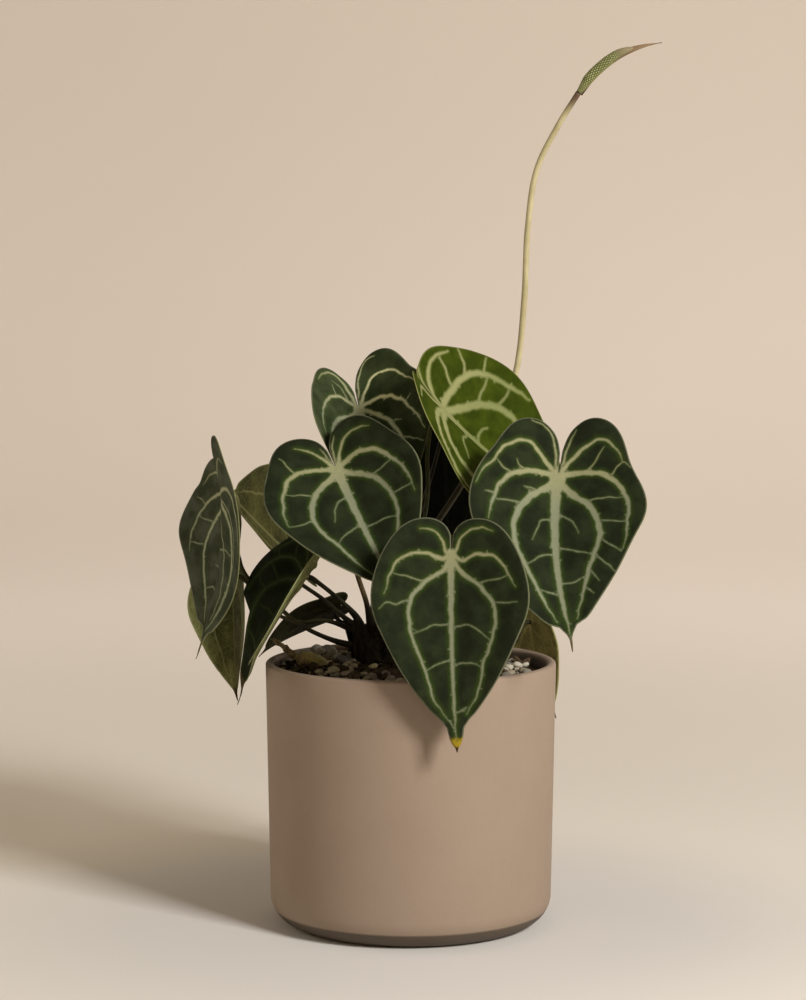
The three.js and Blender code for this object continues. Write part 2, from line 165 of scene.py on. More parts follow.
# One named piece from points in mm, with its faces' materials, values at its points and bake map
def makePiece(name, points, faces, materials, replaced=(), slots=None, values=None, bakeMap=None):
    mesh = bpy.data.meshes.new(name)
    mesh.from_pydata((np.asarray(points) * mm).tolist(), [], [list(map(int, face)) for face in faces])
    for material in materials:
        mesh.materials.append(material)
    if slots is not None:
        mesh.polygons.foreach_set("material_index", np.asarray(slots, np.int32))
    mesh.polygons.foreach_set("use_smooth", np.ones(len(mesh.polygons), bool))
    for label, value in (values or {}).items():
        value = np.asarray(value, np.float32)
        kind = "FLOAT" if value.ndim == 1 else "FLOAT_VECTOR"
        layer = mesh.attributes.new(label, kind, "POINT")
        layer.data.foreach_set("value" if kind == "FLOAT" else "vector", value.ravel())
    if bakeMap is not None:
        layer = mesh.uv_layers.new(name="OFBake")
        layer.data.foreach_set("uv", np.asarray(bakeMap, np.float32).ravel())
    mesh.update()
    piece = bpy.data.objects.new(name, mesh)
    bpy.context.scene.collection.objects.link(piece)
    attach(piece, "root")
    if replaced:
        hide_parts(*replaced)
    return piece


# Camera and lights, in metres
view = {"lens": 100, "sensor": 36, "place": (-0.00376, -1.330, 0.3146), "down": 4.73}
lights = {
    "key": {"place": (1.08, -1.27, 1.08), "aim": (0, 0, 0.18), "size": 0.45, "power": 41,
            "tint": (1, 0.99, 0.975)},
    "fill": {"place": (-1.7, 0.4, 0.75), "aim": (0, 0, 0.15), "size": 1.2, "power": 4.5,
             "tint": (1, 0.88, 0.7)},
}
# The floor's sizes are in mm. Its colour changes with the distance from the plant, with painted shade round
# the spot under the key light.
# Its painted light, a glow though it is no lamp, changes with the distance from the plant and along each axis,
# as (from, to, level, level) in metres.
studio = {
    "flat": 2300, "sweep": 900, "wall": 1500, "turns": 96, "air": (1, 0.94, 0.85, 1), "airStrength": 0.15,
    "near": "#d9d4cd", "far": "#ddd3c5", "toneReach": (0.35, 1.6),
    "nearPaintedLight": (0.135, 0.1, 0.055, 1), "nearPaintedLightReach": (0.1, 0.27),
    "farPaintedLight": (0.345, 0.295, 0.25, 1), "farPaintedLightReach": (0.25, 1.4),
    "glowX": (-0.7, 0.7, 0.76, 1.06), "glowY": (-1.2, 0.2, 0.3, 1.0), "glowZ": (0.0, 0.85, 1.0, 0.68),
    "underKey": (1.15, -1.35, 0.0), "paintedShadeUnderKey": (0.3, 1.2, 0.64, 0.0),
}

camera = bpy.data.objects.new("camera", bpy.data.cameras.new("camera"))
camera.data.lens = view["lens"]
camera.data.sensor_width = view["sensor"]
camera.location = view["place"]
camera.rotation_euler = (math.radians(90 - view["down"]), 0, 0)
bpy.context.scene.collection.objects.link(camera)
bpy.context.scene.camera = camera
bpy.context.scene.view_settings.view_transform = "Standard"

for name, light in lights.items():
    lamp = bpy.data.objects.new(name, bpy.data.lights.new(name, "AREA"))
    lamp.data.size = light["size"]
    lamp.data.energy = light["power"]
    lamp.data.color = light["tint"]
    lamp.location = light["place"]
    lamp.rotation_euler = (Vector(light["aim"]) - lamp.location).to_track_quat("-Z", "Y").to_euler()
    lamp.visible_camera = False
    bpy.context.scene.collection.objects.link(lamp)

world = bpy.data.worlds.new("studio air")
world.use_nodes = True
world.node_tree.nodes["Background"].inputs[0].default_value = studio["air"]
world.node_tree.nodes["Background"].inputs[1].default_value = studio["airStrength"]
bpy.context.scene.world = world


def paperMaterial():
    material, tree, shader = newMaterial("studioPaper", Roughness=0.9, Specular_IOR_Level=0.15)
    black = colour("#000000")
    where = meshPlace(tree)
    away = addNode(tree, "VectorMath", {0: where}, operation="LENGTH").outputs["Value"]
    toneAndPaintedShade = blend(tree, ramp(tree, away, *studio["toneReach"]), colour(studio["near"]), colour(studio["far"]))
    # Painted shade: the paper darkens towards black round the spot under the key light
    fromKey = addNode(tree, "VectorMath", {0: where, 1: studio["underKey"]}, operation="DISTANCE")
    toneAndPaintedShade = blend(tree, ramp(tree, fromKey.outputs["Value"], *studio["paintedShadeUnderKey"]), toneAndPaintedShade, black)
    tree.links.new(toneAndPaintedShade, shader.inputs["Base Color"])
    # Painted light: the floor and wall glow though they are no lamp, more away from the plant, towards the
    # right and the back, and less higher up
    glow = blend(tree, ramp(tree, away, *studio["nearPaintedLightReach"]), black, studio["nearPaintedLight"])
    glow = blend(tree, ramp(tree, away, *studio["farPaintedLightReach"]), glow, studio["farPaintedLight"])
    sides = addNode(tree, "SeparateXYZ", {0: where}).outputs
    levels = [ramp(tree, sides[axis], *studio["glow" + axis]) for axis in "XYZ"]
    level = calc(tree, "MULTIPLY", calc(tree, "MULTIPLY", levels[0], levels[1]), levels[2])
    tree.links.new(blend(tree, level, black, glow), shader.inputs["Emission Color"])
    shader.inputs["Emission Strength"].default_value = 1.0
    return material


# A flat floor that sweeps up into a plain wall all round
def layFloor():
    flat, sweep, turns = studio["flat"], studio["sweep"], studio["turns"]
    profile = [(flat * i / 6, 0) for i in range(1, 7)]
    for i in range(1, 9):
        angle = math.radians(90 * i / 8)
        profile.append((flat + sweep * math.sin(angle), sweep * (1 - math.cos(angle))))
    profile.append((profile[-1][0], sweep + studio["wall"]))
    points = [(0, 0, 0)]
    for radius, height in profile:
        for k in range(turns):
            angle = 2 * math.pi * k / turns
            points.append((radius * math.cos(angle), radius * math.sin(angle), height))
    faces = [(0, 1 + k, 1 + (k + 1) % turns) for k in range(turns)]
    for row in range(len(profile) - 1):
        for k in range(turns):
            a, b = 1 + row * turns + k, 1 + row * turns + (k + 1) % turns
            faces.append((a, a + turns, b + turns, b))
    mesh = bpy.data.meshes.new("floor")
    mesh.from_pydata((np.array(points) * mm).tolist(), [], faces)
    mesh.polygons.foreach_set("use_smooth", np.ones(len(mesh.polygons), bool))
    mesh.materials.append(paperMaterial())
    floor = bpy.data.objects.new("floor", mesh)
    bpy.context.scene.collection.objects.link(floor)


layFloor()
print("camera, lights and floor set")


# The pot in mm. Its inside wall has painted shade below the lip, between these radii and heights in metres.
pot = {
    "height": 127, "radius": 70, "wall": 4, "draft": 2, "fillet": 14, "floor": 5, "lip": 1.6, "turns": 144,
    "clay": "#a6917d", "cloud": "#8a715c", "speck": "#6f5947", "cloudScale": 30.0, "grainScale": 900,
    "grainDepth": 0.00012, "roughness": 0.6,
    "paintedInsideShade": "#2e261b", "paintedInsideShadeStrength": 0.75,
    "paintedInsideShadeRadius": (0.0661, 0.0667), "paintedInsideShadeHeight": (0.1262, 0.1235),
}


def arc(centre, height, across, tall, start, end, steps):
    angles = np.radians(np.linspace(start, end, steps + 1))
    return [(centre + across * math.cos(a), height + tall * math.sin(a)) for a in angles]


def turnedPoints(profile, turns, centre=(0, 0)):
    angles = np.linspace(0, 2 * math.pi, turns, endpoint=False)
    points = []
    for radius, height in profile:
        for angle in angles:
            x, y = centre[0] + radius * math.cos(angle), centre[1] + radius * math.sin(angle)
            points.append((x, y, height))
    return np.array(points)


# Quads between rings of points, closed by a fan at each end
def ringFaces(rings, turns):
    faces = []
    for row in range(rings - 1):
        for k in range(turns):
            a, b = row * turns + k, row * turns + (k + 1) % turns
            faces.append((a, b, b + turns, a + turns))
    first, last = rings * turns, rings * turns + 1
    for k in range(turns):
        nextOne = (k + 1) % turns
        faces.append((first, nextOne, k))
        faces.append((last, (rings - 1) * turns + k, (rings - 1) * turns + nextOne))
    return faces


def potMaterial():
    roughness = pot["roughness"]
    material, tree, shader = newMaterial("potClay", Roughness=roughness, Specular_IOR_Level=0.35)
    where = meshPlace(tree)
    cloud = noiseAt(tree, where, pot["cloudScale"], 4.0, 0.6)
    speck = noiseAt(tree, where, pot["grainScale"], 2.0, 0.5)
    base = blend(tree, ramp(tree, cloud, 0.3, 0.75, 0.0, 0.12), seen(pot["clay"]), seen(pot["cloud"]))
    base = blend(tree, ramp(tree, speck, 0.6, 0.75, 0.0, 0.1), base, seen(pot["speck"]))
    flat = addNode(tree, "VectorMath", {0: where, 1: (1.0, 1.0, 0.0)}, operation="MULTIPLY").outputs["Vector"]
    fromAxis = addNode(tree, "VectorMath", {0: flat}, operation="LENGTH").outputs["Value"]
    height = addNode(tree, "SeparateXYZ", {0: where}).outputs["Z"]
    # Painted shade on the inside wall just below the lip
    within = ramp(tree, fromAxis, *pot["paintedInsideShadeRadius"], 1.0, 0.0)
    paintedShadeMask = calc(tree, "MULTIPLY", within, ramp(tree, height, *pot["paintedInsideShadeHeight"]))
    base = blend(tree, calc(tree, "MULTIPLY", paintedShadeMask, pot["paintedInsideShadeStrength"]), base, colour(pot["paintedInsideShade"]))
    worn = ramp(tree, cloud, 0.3, 0.7, roughness - 0.04, roughness + 0.06)
    tree.links.new(worn, shader.inputs["Roughness"])
    return finishMaterial(material, tree, shader, base, speck, 0.35, pot["grainDepth"])


def makePot():
    foot = pot["radius"] - pot["draft"] - pot["fillet"]
    lipCentre = pot["radius"] - pot["wall"] / 2
    inside = pot["radius"] - pot["wall"]
    low, high = pot["fillet"], pot["height"] - pot["lip"]
    steps = np.linspace(0, 1, 14)
    outer = [(pot["radius"] - pot["draft"] * (1 - t), low + (high - low) * t) for t in steps]
    inner = [(inside - pot["draft"] * t, high + (low + pot["floor"] - high) * t) for t in steps]
    bowl = arc(foot - pot["floor"], low + 2, low, low + 2 - pot["floor"], -35, -90, 6)
    profile = [(foot * t, 0) for t in (0.25, 0.5, 0.75, 0.98)]
    profile += arc(foot, low, low, low, -90, 0, 12)[:-1] + outer[:-1]
    profile += arc(lipCentre, high, pot["wall"] / 2, pot["lip"], 0, 180, 10)[:-1] + inner + bowl
    points = np.vstack([turnedPoints(profile, pot["turns"]), [[0, 0, 0], [0, 0, pot["floor"]]]])
    makePiece("planter", points, ringFaces(len(profile), pot["turns"]), [potMaterial()], ["pot"])


makePot()
print("pot made")


# A plain leaf's outline, as degrees from the tip and reach for a leaf one long
heartOutline = np.array([
    (0, 1), (3, 0.894), (8, 0.82), (15, 0.737), (24, 0.653), (33, 0.585), (43, 0.535), (53, 0.503),
    (63, 0.462), (74, 0.413), (86, 0.368), (99, 0.33), (114, 0.301), (128, 0.273), (141, 0.24),
    (151, 0.212), (162, 0.172), (171, 0.132), (177.5, 0.095),
])
blade = {
    "thickness": 0.8, "rimThickness": 0.32, "slitHalfAngle": 2.5, "spacing": 1.45, "lineSpacing": 0.85,
    "quilt": 0.75, "quiltReach": 6.0, "groove": 0.16, "keel": 0.55, "sway": 0.8,
}

# Veins as (degrees from the tip, share of the way to the margin), for both halves of a plain leaf
plainVeins = {
    "first": [(30, 0.08), (43, 0.3), (40, 0.47), (34, 0.62), (25, 0.71), (15, 0.78), (8, 0.87), (3, 0.94)],
    "second": [(100, 0.12), (102, 0.33), (94, 0.52), (80, 0.67), (64, 0.76), (50, 0.84), (39, 0.93)],
    "third": [(140, 0.15), (142, 0.4), (134, 0.6), (123, 0.74), (110, 0.84), (97, 0.88), (82, 0.91)],
    "fourth": [(166, 0.4), (165, 0.7), (158, 0.86), (146, 0.93)],
}
plainRungs = [
    [(0, 0.6), (7, 0.68), (13, 0.78)], [(0, 0.33), (12, 0.45), (22, 0.6)],
    [(42, 0.4), (55, 0.5), (66, 0.66)], [(36, 0.58), (46, 0.74), (53, 0.83)],
    [(100, 0.45), (110, 0.6), (117, 0.74)], [(78, 0.68), (84, 0.8), (88, 0.88)],
]
veinWidths = {
    "mid": (3.5, 1.1), "first": (2.5, 0.9), "second": (2.3, 0.7), "third": (1.8, 0.45), "fourth": (0.9, 0.3),
    "rung": (0.58, 0.36),
}

# Each leaf hangs at "at" from its petiole. "facing" turns its midrib round the vertical, "droop" lowers
# its tip and "roll" tips it sideways. Pairs are left and right half: "width" and "lobes" stretch it,
# "fold" raises each half and "curl" bends it on. "arch" and "bend" curve the midrib, "twist" turns the
# tip, "lift" raises the lobes and "hook" shifts the tip aside. "tip" is its drawn-out end, as shares of
# the length and half-widths. "veins" widens the veins, "lines" are those that the photo shows, and
# "skins" are the materials of its two faces.
leaves = {
    "front": {
        "at": [18.2, -73, 186.1], "length": 88.4, "facing": -6.1, "droop": 82, "roll": 4.6, "arch": 1.5,
        "bend": 4.8, "twist": -1.2, "width": [1.02, 1.05], "lobes": [1.01, 1], "fold": [13, 10.1],
        "curl": 6.4, "lift": -1.5, "veins": 0.95, "tip": [(0.9, 0.044), (0.95, 0.035), (0.98, 0.022),
        (0.997, 0.008), (1.02, 0.002)], "skins": ["leafTopFront", "leafBackMature"],
        "lines": {
            "first": [[(-24, 0.13), (-41, 0.34), (-42, 0.54), (-38, 0.62), (-31, 0.68), (-23, 0.74),
                (-16, 0.78), (-12, 0.83), (-8, 0.91), (-3, 0.94)], [(24, 0.13), (39, 0.32), (41, 0.47),
                (40, 0.62), (34, 0.7), (24, 0.77), (15, 0.82), (12, 0.88), (8, 0.93), (4, 0.95)]],
            "second": [[(-58, 0.11), (-89, 0.3), (-90, 0.55), (-84, 0.68), (-78, 0.74), (-70, 0.77),
                (-59, 0.83)], [(58, 0.13), (88, 0.35), (88, 0.55), (82, 0.66), (72, 0.73), (63, 0.82)]],
            "third": [[(-110, 0.1), (-144, 0.33), (-144, 0.58), (-137, 0.7), (-128, 0.76)],
                [(126, 0.1), (149, 0.42), (143, 0.62), (130, 0.78), (118, 0.82)]],
            "rung": [[(-44, 0.37), (-61, 0.52), (-71, 0.74)],
                [(-42, 0.6), (-48, 0.73), (-54, 0.84), (-53, 0.92)], [(42, 0.38), (56, 0.5), (68, 0.72)],
                [(40, 0.6), (48, 0.74), (54, 0.86)], [(0, 0.36), (-15, 0.52), (-25, 0.7)],
                [(0, 0.38), (13, 0.5), (24, 0.75)], [(0, 0.55), (-7, 0.68), (-13, 0.8)],
                [(0, 0.58), (8, 0.69), (14, 0.81)], [(0, 0.82), (5, 0.93)], [(0, 0.9), (-3, 0.94)]],
        },
    },
    "right": {
        "at": [68.5, -38, 218.5], "length": 89, "facing": -16, "droop": 59, "roll": -14, "arch": -2,
        "bend": 24, "twist": 0, "width": [1.18, 1.21], "lobes": [1.64, 1.9], "fold": [17, 16], "curl": 8,
        "lift": 4, "veins": 1.5, "tip": [(0.86, 0.046), (0.905, 0.016), (0.93, 0.007), (0.97, 0.005),
        (1.0, 0.002)], "hook": -1.5, "skins": ["leafTopMature", "leafBackMature"],
        "lines": {
            "first": [[(-28, 0.1), (-39, 0.29), (-38, 0.45), (-34, 0.57), (-29, 0.64), (-22, 0.7),
                (-14, 0.75), (-9, 0.81), (-6, 0.87), (-3, 0.93)], [(23, 0.07), (37, 0.26), (40, 0.41),
                (36, 0.54), (31, 0.63), (26, 0.69), (18, 0.74), (12, 0.79), (7, 0.86), (3, 0.93)]],
            "second": [[(-100, 0.14), (-90, 0.34), (-82, 0.48), (-74, 0.59), (-64, 0.67), (-54, 0.74),
                (-46, 0.83)], [(112, 0.13), (104, 0.35), (96, 0.57), (88, 0.67), (76, 0.73), (63, 0.77),
                (52, 0.82), (41, 0.89), (32, 0.96)]],
            "third": [[(-137, 0.14), (-133, 0.4), (-128, 0.62), (-121, 0.73), (-112, 0.82), (-104, 0.88),
                (-90, 0.86), (-80, 0.91), (-70, 0.94)], [(154, 0.21), (142, 0.47), (134, 0.62), (126, 0.76),
                (116, 0.86), (103, 0.91)]],
            "fourth": [[(-164, 0.26), (-166, 0.66), (-160, 0.81), (-150, 0.9), (-138, 0.94)],
                [(166, 0.3), (166, 0.71), (160, 0.87)]],
            "rung": [[(0, 0.24), (-14, 0.37), (-15, 0.43), (-16, 0.54)], [(0, 0.22), (17, 0.39), (17, 0.5)],
                [(0, 0.45), (-9, 0.58), (-16, 0.74)], [(0, 0.4), (10, 0.56), (19, 0.74)],
                [(0, 0.69), (-6, 0.78), (-10, 0.81)], [(0, 0.62), (6, 0.74), (12, 0.79)],
                [(-39, 0.44), (-50, 0.58), (-56, 0.73)], [(-43, 0.26), (-52, 0.3), (-58, 0.37)],
                [(-88, 0.4), (-93, 0.52), (-101, 0.62)], [(-78, 0.55), (-87, 0.75), (-92, 0.87)],
                [(44, 0.38), (57, 0.51), (65, 0.77)], [(105, 0.4), (115, 0.62), (119, 0.74)],
                [(90, 0.65), (101, 0.84), (103, 0.92), (98, 0.99)], [(36, 0.6), (43, 0.76), (47, 0.85)],
                [(27, 0.7), (29, 0.84), (30, 0.95)], [(20, 0.75), (21, 0.87), (22, 0.98)],
                [(14, 0.79), (15, 0.91)], [(-60, 0.69), (-63, 0.82)], [(9, 0.82), (11, 0.93)]],
        },
    },
    "mid_left": {
        "at": [-35.4, -18, 220.9], "length": 85, "facing": 33, "droop": 49, "roll": 23, "arch": -20,
        "bend": 0, "twist": -7, "width": [1.21, 1.13], "lobes": [1.4, 1.42], "fold": [4, 28], "curl": 11,
        "lift": -2, "veins": 1.35, "skins": ["leafTopMature", "leafBackMature"],
        "lines": {
            "first": [[(-30, 0.08), (-44, 0.24), (-44, 0.4), (-39, 0.54), (-33, 0.65), (-24, 0.72),
                (-16, 0.76), (-12, 0.81), (-8, 0.88), (-4, 0.93)], [(40, 0.11), (46, 0.3), (42, 0.46),
                (35, 0.6), (29, 0.68), (22, 0.74), (14, 0.79), (7, 0.88)]],
            "second": [[(-98, 0.11), (-101, 0.31), (-98, 0.48), (-92, 0.61), (-82, 0.68), (-71, 0.72),
                (-60, 0.78), (-52, 0.85), (-45, 0.92)], [(108, 0.16), (106, 0.38), (98, 0.5), (83, 0.62),
                (68, 0.68), (58, 0.76), (48, 0.84), (38, 0.92)]],
            "third": [[(-151, 0.15), (-147, 0.45), (-142, 0.64), (-132, 0.77)], [(144, 0.15), (146, 0.4),
                (143, 0.56), (134, 0.68), (123, 0.78), (112, 0.86)]],
            "fourth": [[(-166, 0.4), (-164, 0.72)], [(168, 0.4), (167, 0.7), (160, 0.85)]],
            "rung": [[(-44, 0.38), (-58, 0.53), (-70, 0.72)], [(-97, 0.6), (-110, 0.77), (-114, 0.88)],
                [(-34, 0.66), (-39, 0.8), (-44, 0.92)], [(0, 0.2), (-14, 0.31), (-18, 0.37), (-18, 0.54)],
                [(0, 0.41), (-8, 0.54), (-17, 0.76)], [(0, 0.44), (9, 0.55), (21, 0.75)],
                [(45, 0.38), (56, 0.52), (64, 0.69)], [(32, 0.64), (37, 0.77), (43, 0.88)]],
        },
    },
    "top_left": {
        "at": [-25.5, 38, 246.5], "length": 85.5, "facing": 16, "droop": 45, "roll": 10, "arch": -5,
        "bend": -8, "twist": -1, "width": [1.08, 1.25], "lobes": [1.44, 1.85], "fold": [36, 31], "curl": 22,
        "lift": 4, "veins": 1.1, "skins": ["leafTopPaintedLight", "leafBackMature"],
        "lines": {
            "first": [[(-40, 0.1), (-49, 0.39), (-44, 0.58), (-38, 0.72), (-26, 0.8), (-14, 0.86)],
                [(45, 0.15), (38, 0.34), (33, 0.49), (27, 0.64), (18, 0.75), (9, 0.85)]],
            "second": [[(-140, 0.2), (-122, 0.4), (-108, 0.5), (-86, 0.6), (-65, 0.69), (-50, 0.81),
                (-40, 0.88)], [(120, 0.15), (96, 0.36), (76, 0.48), (65, 0.56), (53, 0.66), (46, 0.79),
                (38, 0.93)]],
            "third": [[(-166, 0.4), (-162, 0.68), (-152, 0.79), (-138, 0.86), (-125, 0.88), (-110, 0.92)],
                [(154, 0.25), (147, 0.47), (136, 0.61), (124, 0.69), (112, 0.78), (98, 0.83), (80, 0.86)]],
            "fourth": [[(172, 0.5), (165, 0.8), (154, 0.91), (140, 0.9)]],
            "rung": [[(28, 0.62), (31, 0.83), (32, 0.97)], [(36, 0.42), (40, 0.48), (42, 0.56)],
                [(-142, 0.35), (-140, 0.6), (-130, 0.72)], [(-114, 0.48), (-124, 0.66)],
                [(62, 0.58), (68, 0.7)], [(0, 0.5), (-9, 0.6), (-20, 0.78)],
                [(0, 0.46), (10, 0.58), (18, 0.74)]],
        },
    },
    "young": {
        "at": [16, -6, 247.5], "length": 96, "facing": 119, "droop": 44, "roll": 28, "arch": -19, "bend": 5,
        "twist": 18, "width": [1.15, 1.24], "lobes": [1.99, 1.61], "fold": [-7, 51], "curl": -10,
        "lift": 12, "veins": 1.6, "evened": 13, "liftReach": 0.3,
        "skins": ["leafTopYoung", "leafBackYoung"],
        "lines": {
            "first": [[(-104, 0.3), (-92, 0.52), (-78, 0.61), (-64, 0.66), (-52, 0.7), (-36, 0.76),
                (-18, 0.84)], [(50, 0.09), (46, 0.27), (44, 0.45), (40, 0.58), (34, 0.67), (26, 0.73),
                (15, 0.79), (7, 0.88)]],
            "second": [[(-118, 0.4), (-108, 0.66), (-97, 0.82), (-86, 0.87), (-73, 0.9), (-60, 0.93)],
                [(104, 0.13), (96, 0.31), (92, 0.48), (87, 0.61), (78, 0.69), (68, 0.73), (58, 0.77),
                (49, 0.83), (43, 0.9), (38, 0.96)]],
            "third": [[(-150, 0.2), (-146, 0.5), (-136, 0.7), (-122, 0.85)],
                [(158, 0.2), (149, 0.52), (138, 0.7), (126, 0.81), (114, 0.91)]],
            "fourth": [[(168, 0.4), (165, 0.75), (155, 0.92)]],
            "rung": [[(98, 0.42), (112, 0.55), (119, 0.7), (124, 0.82)],
                [(88, 0.6), (95, 0.75), (101, 0.86), (106, 0.97)], [(70, 0.72), (77, 0.84), (79, 0.94)],
                [(45, 0.42), (56, 0.53), (66, 0.73)], [(39, 0.6), (44, 0.72), (49, 0.83)],
                [(0, 0.27), (18, 0.37), (21, 0.43)], [(-4, 0.2), (-40, 0.3), (-48, 0.37), (-50, 0.52)],
                [(0, 0.5), (10, 0.6), (20, 0.76)], [(0, 0.62), (-8, 0.7), (-16, 0.84)]],
        },
    },
    "far_left": {
        "at": [-88.5, -28, 209], "length": 79.5, "facing": -103, "droop": 93, "roll": 2, "arch": -26,
        "bend": 2, "twist": -16, "width": [1.33, 0.93], "lobes": [1.24, 1.99], "fold": [29, -50],
        "curl": 28, "lift": 8, "veins": 0.95, "tip": [(0.82, 0.085), (0.86, 0.062), (0.9, 0.044),
        (0.93, 0.028), (0.96, 0.016), (1.0, 0.004)], "skins": ["leafTopAgedPaintedSheen", "leafBackMature"],
        "lines": {
            "first": [[(-36, 0.1), (-43, 0.36), (-38, 0.56), (-31, 0.7), (-18, 0.79), (-10, 0.84),
                (-5, 0.92)], [(55, 0.2), (48, 0.48), (38, 0.66), (29, 0.77), (18, 0.83), (9, 0.89),
                (4, 0.94)]],
            "second": [[(-95, 0.15), (-86, 0.42), (-75, 0.59), (-63, 0.71), (-50, 0.83), (-38, 0.91)],
                [(112, 0.2), (105, 0.5), (94, 0.7), (80, 0.78), (64, 0.85), (50, 0.92)]],
            "third": [[(-142, 0.15), (-144, 0.42), (-134, 0.64), (-118, 0.8), (-102, 0.88)],
                [(150, 0.2), (143, 0.5), (132, 0.68), (116, 0.82)]],
            "fourth": [[(72, 0.25), (62, 0.5), (47, 0.68), (34, 0.78), (22, 0.84), (12, 0.89), (5, 0.93)],
                [(22, 0.3), (20, 0.55), (13, 0.75), (6, 0.88)]],
            "rung": [[(-41, 0.44), (-54, 0.58), (-62, 0.71)], [(-33, 0.68), (-39, 0.78), (-44, 0.87)],
                [(0, 0.34), (18, 0.46), (33, 0.7)], [(0, 0.45), (-11, 0.56)],
                [(0, 0.6), (-8, 0.7), (-13, 0.81)], [(-72, 0.62), (-80, 0.72), (-86, 0.84)]],
        },
    },
    "far_left_low": {
        "at": [-87.5, 20, 165.5], "length": 61, "facing": -126, "droop": 91, "roll": -10, "arch": 5,
        "bend": 5, "twist": -2, "width": [1.09, 1.08], "lobes": [1.3, 1.3], "fold": [16, 26], "curl": 3,
        "lift": 10, "veins": 0.85, "tip": [(0.78, 0.15), (0.84, 0.1), (0.88, 0.065), (0.91, 0.035),
        (0.94, 0.018), (0.97, 0.011), (1.0, 0.004)], "hook": -1.5, "skins": ["leafTopAgedPaintedSheen", "leafBackLit"],
    },
    "hanging_left": {
        "at": [-50.5, -22, 171], "length": 79, "facing": -97.2, "droop": 54, "roll": -37.1, "arch": 33.1,
        "bend": -33.6, "twist": -8, "width": [1.06, 1.19], "lobes": [1.2, 1.32], "fold": [13.9, 48.4],
        "curl": -15.7, "lift": 6, "veins": 0.7, "hook": 10.2, "tip": [(0.48, 0.21), (0.57, 0.172),
        (0.66, 0.13), (0.75, 0.088), (0.84, 0.052), (0.93, 0.022), (0.99, 0.005)],
        "skins": ["leafTopPaintedShade", "leafBackLit"],
    },
    "back_left": {
        "at": [-55, 38, 170.5], "length": 90.5, "facing": -149, "droop": -20, "roll": 64, "arch": -4,
        "bend": -3, "twist": 20, "width": [0.6, 1.17], "lobes": [0.3, 1.2], "fold": [16, 4], "curl": 13,
        "lift": 10, "veins": 1, "skins": ["leafTopMature", "leafBackMature"],
    },
    "low_left": {
        "at": [-37.6, 34, 148.3], "length": 48, "facing": -106, "droop": 20.6, "roll": 17.5, "arch": 24,
        "bend": -10, "twist": -9, "width": [0.97, 1.01], "lobes": [0.5, 1.2], "fold": [7, 14], "curl": -16,
        "lift": 22.7, "veins": 0.6, "skins": ["leafTopPaintedShade", "leafBackPaintedShade"],
    },
    "back_right": {
        "at": [60.7, 60, 138], "length": 50.5, "facing": 110, "droop": 85, "roll": -4.4, "arch": -13.5,
        "bend": -19.5, "twist": -16, "width": [0.99, 1.28], "lobes": [1.56, 1.56], "fold": [7.5, -4.8],
        "curl": 2, "lift": 17.6, "veins": 0.65, "skins": ["leafTopOlivePaintedLight", "leafBackOlivePaintedLight"],
    },
    "back_mid": {
        "at": [17, 54, 236], "length": 70, "facing": 172, "droop": 78, "roll": 0, "arch": 6, "bend": 0,
        "twist": 0, "width": [1.18, 1.18], "lobes": [1.1, 1.1], "fold": [9, 9], "curl": 8, "lift": 5,
        "veins": 0.9, "skins": ["leafTopMature", "leafBackShaded"],
    },
}
plainTip = [(0.86, 0.062), (0.91, 0.03), (0.95, 0.014), (1.0, 0.003)]


# The leaf's directions where the petiole meets it: along the midrib, to its right, out of its upper face
def leafDirections(leaf):
    facing, droop, roll = (math.radians(leaf[key]) for key in ("facing", "droop", "roll"))
    along = np.array([math.sin(facing), -math.cos(facing), 0])
    across = np.array([math.cos(facing), math.sin(facing), 0])
    along = along * math.cos(droop) - upward * math.sin(droop)
    normal = np.cross(along, across)
    rolled = across * math.cos(roll) + normal * math.sin(roll)
    return along, rolled, normal * math.cos(roll) - across * math.sin(roll)


# Places in the flat leaf, given across and along, carried onto the curved blade and raised by height
def onBlade(leaf, across, along, height):
    forwardWay, acrossWay, normalWay = leafDirections(leaf)
    length, steps = leaf["length"], 12
    arch, lift, bend, twist = (math.radians(leaf[key]) for key in ("arch", "lift", "bend", "twist"))

    def pitchAt(share):
        raisedLobes = lift * smoothStep(-share / leaf.get("liftReach", 0.12))
        return np.where(share >= 0, arch * np.minimum(share, 1.2), raisedLobes)

    def yawAt(share):
        return bend * np.clip(share, 0, 1.2)

    forward, sideways, raised = np.zeros((3, len(along)))
    for i in range(steps):
        share = along / length * (i + 0.5) / steps
        forward += np.cos(pitchAt(share)) * np.cos(yawAt(share)) * along / steps
        sideways += np.cos(pitchAt(share)) * np.sin(yawAt(share)) * along / steps
        raised -= np.sin(pitchAt(share)) * along / steps
    share = along / length
    pitch, yaw, turn = (x[:, None] for x in (pitchAt(share), yawAt(share), twist * share))
    normal = normalWay * np.cos(pitch) + forwardWay * np.sin(pitch)
    side = (acrossWay * np.cos(yaw) - forwardWay * np.sin(yaw) * np.cos(pitch)
            + normalWay * np.sin(yaw) * np.sin(pitch))
    side, normal = side * np.cos(turn) + normal * np.sin(turn), normal * np.cos(turn) - side * np.sin(turn)

    fold = np.radians(np.where(across < 0, leaf["fold"][0], leaf["fold"][1]))
    curl, width = math.radians(leaf["curl"]), np.abs(across)

    def leanAt(w):
        return fold * smoothStep(w / (0.1 * length)) + curl * w / (0.41 * length)

    outward, up = np.zeros((2, len(along)))
    for i in range(steps):
        lean = leanAt(width * (i + 0.5) / steps)
        outward += np.cos(lean) * width / steps
        up += np.sin(lean) * width / steps
    outward = outward - height * np.sin(leanAt(width))
    up = up + height * np.cos(leanAt(width))
    midrib = np.outer(forward, forwardWay) + np.outer(sideways, acrossWay) + np.outer(raised, normalWay)
    return np.array(leaf["at"]) + midrib + side * (np.sign(across) * outward)[:, None] + normal * up[:, None]


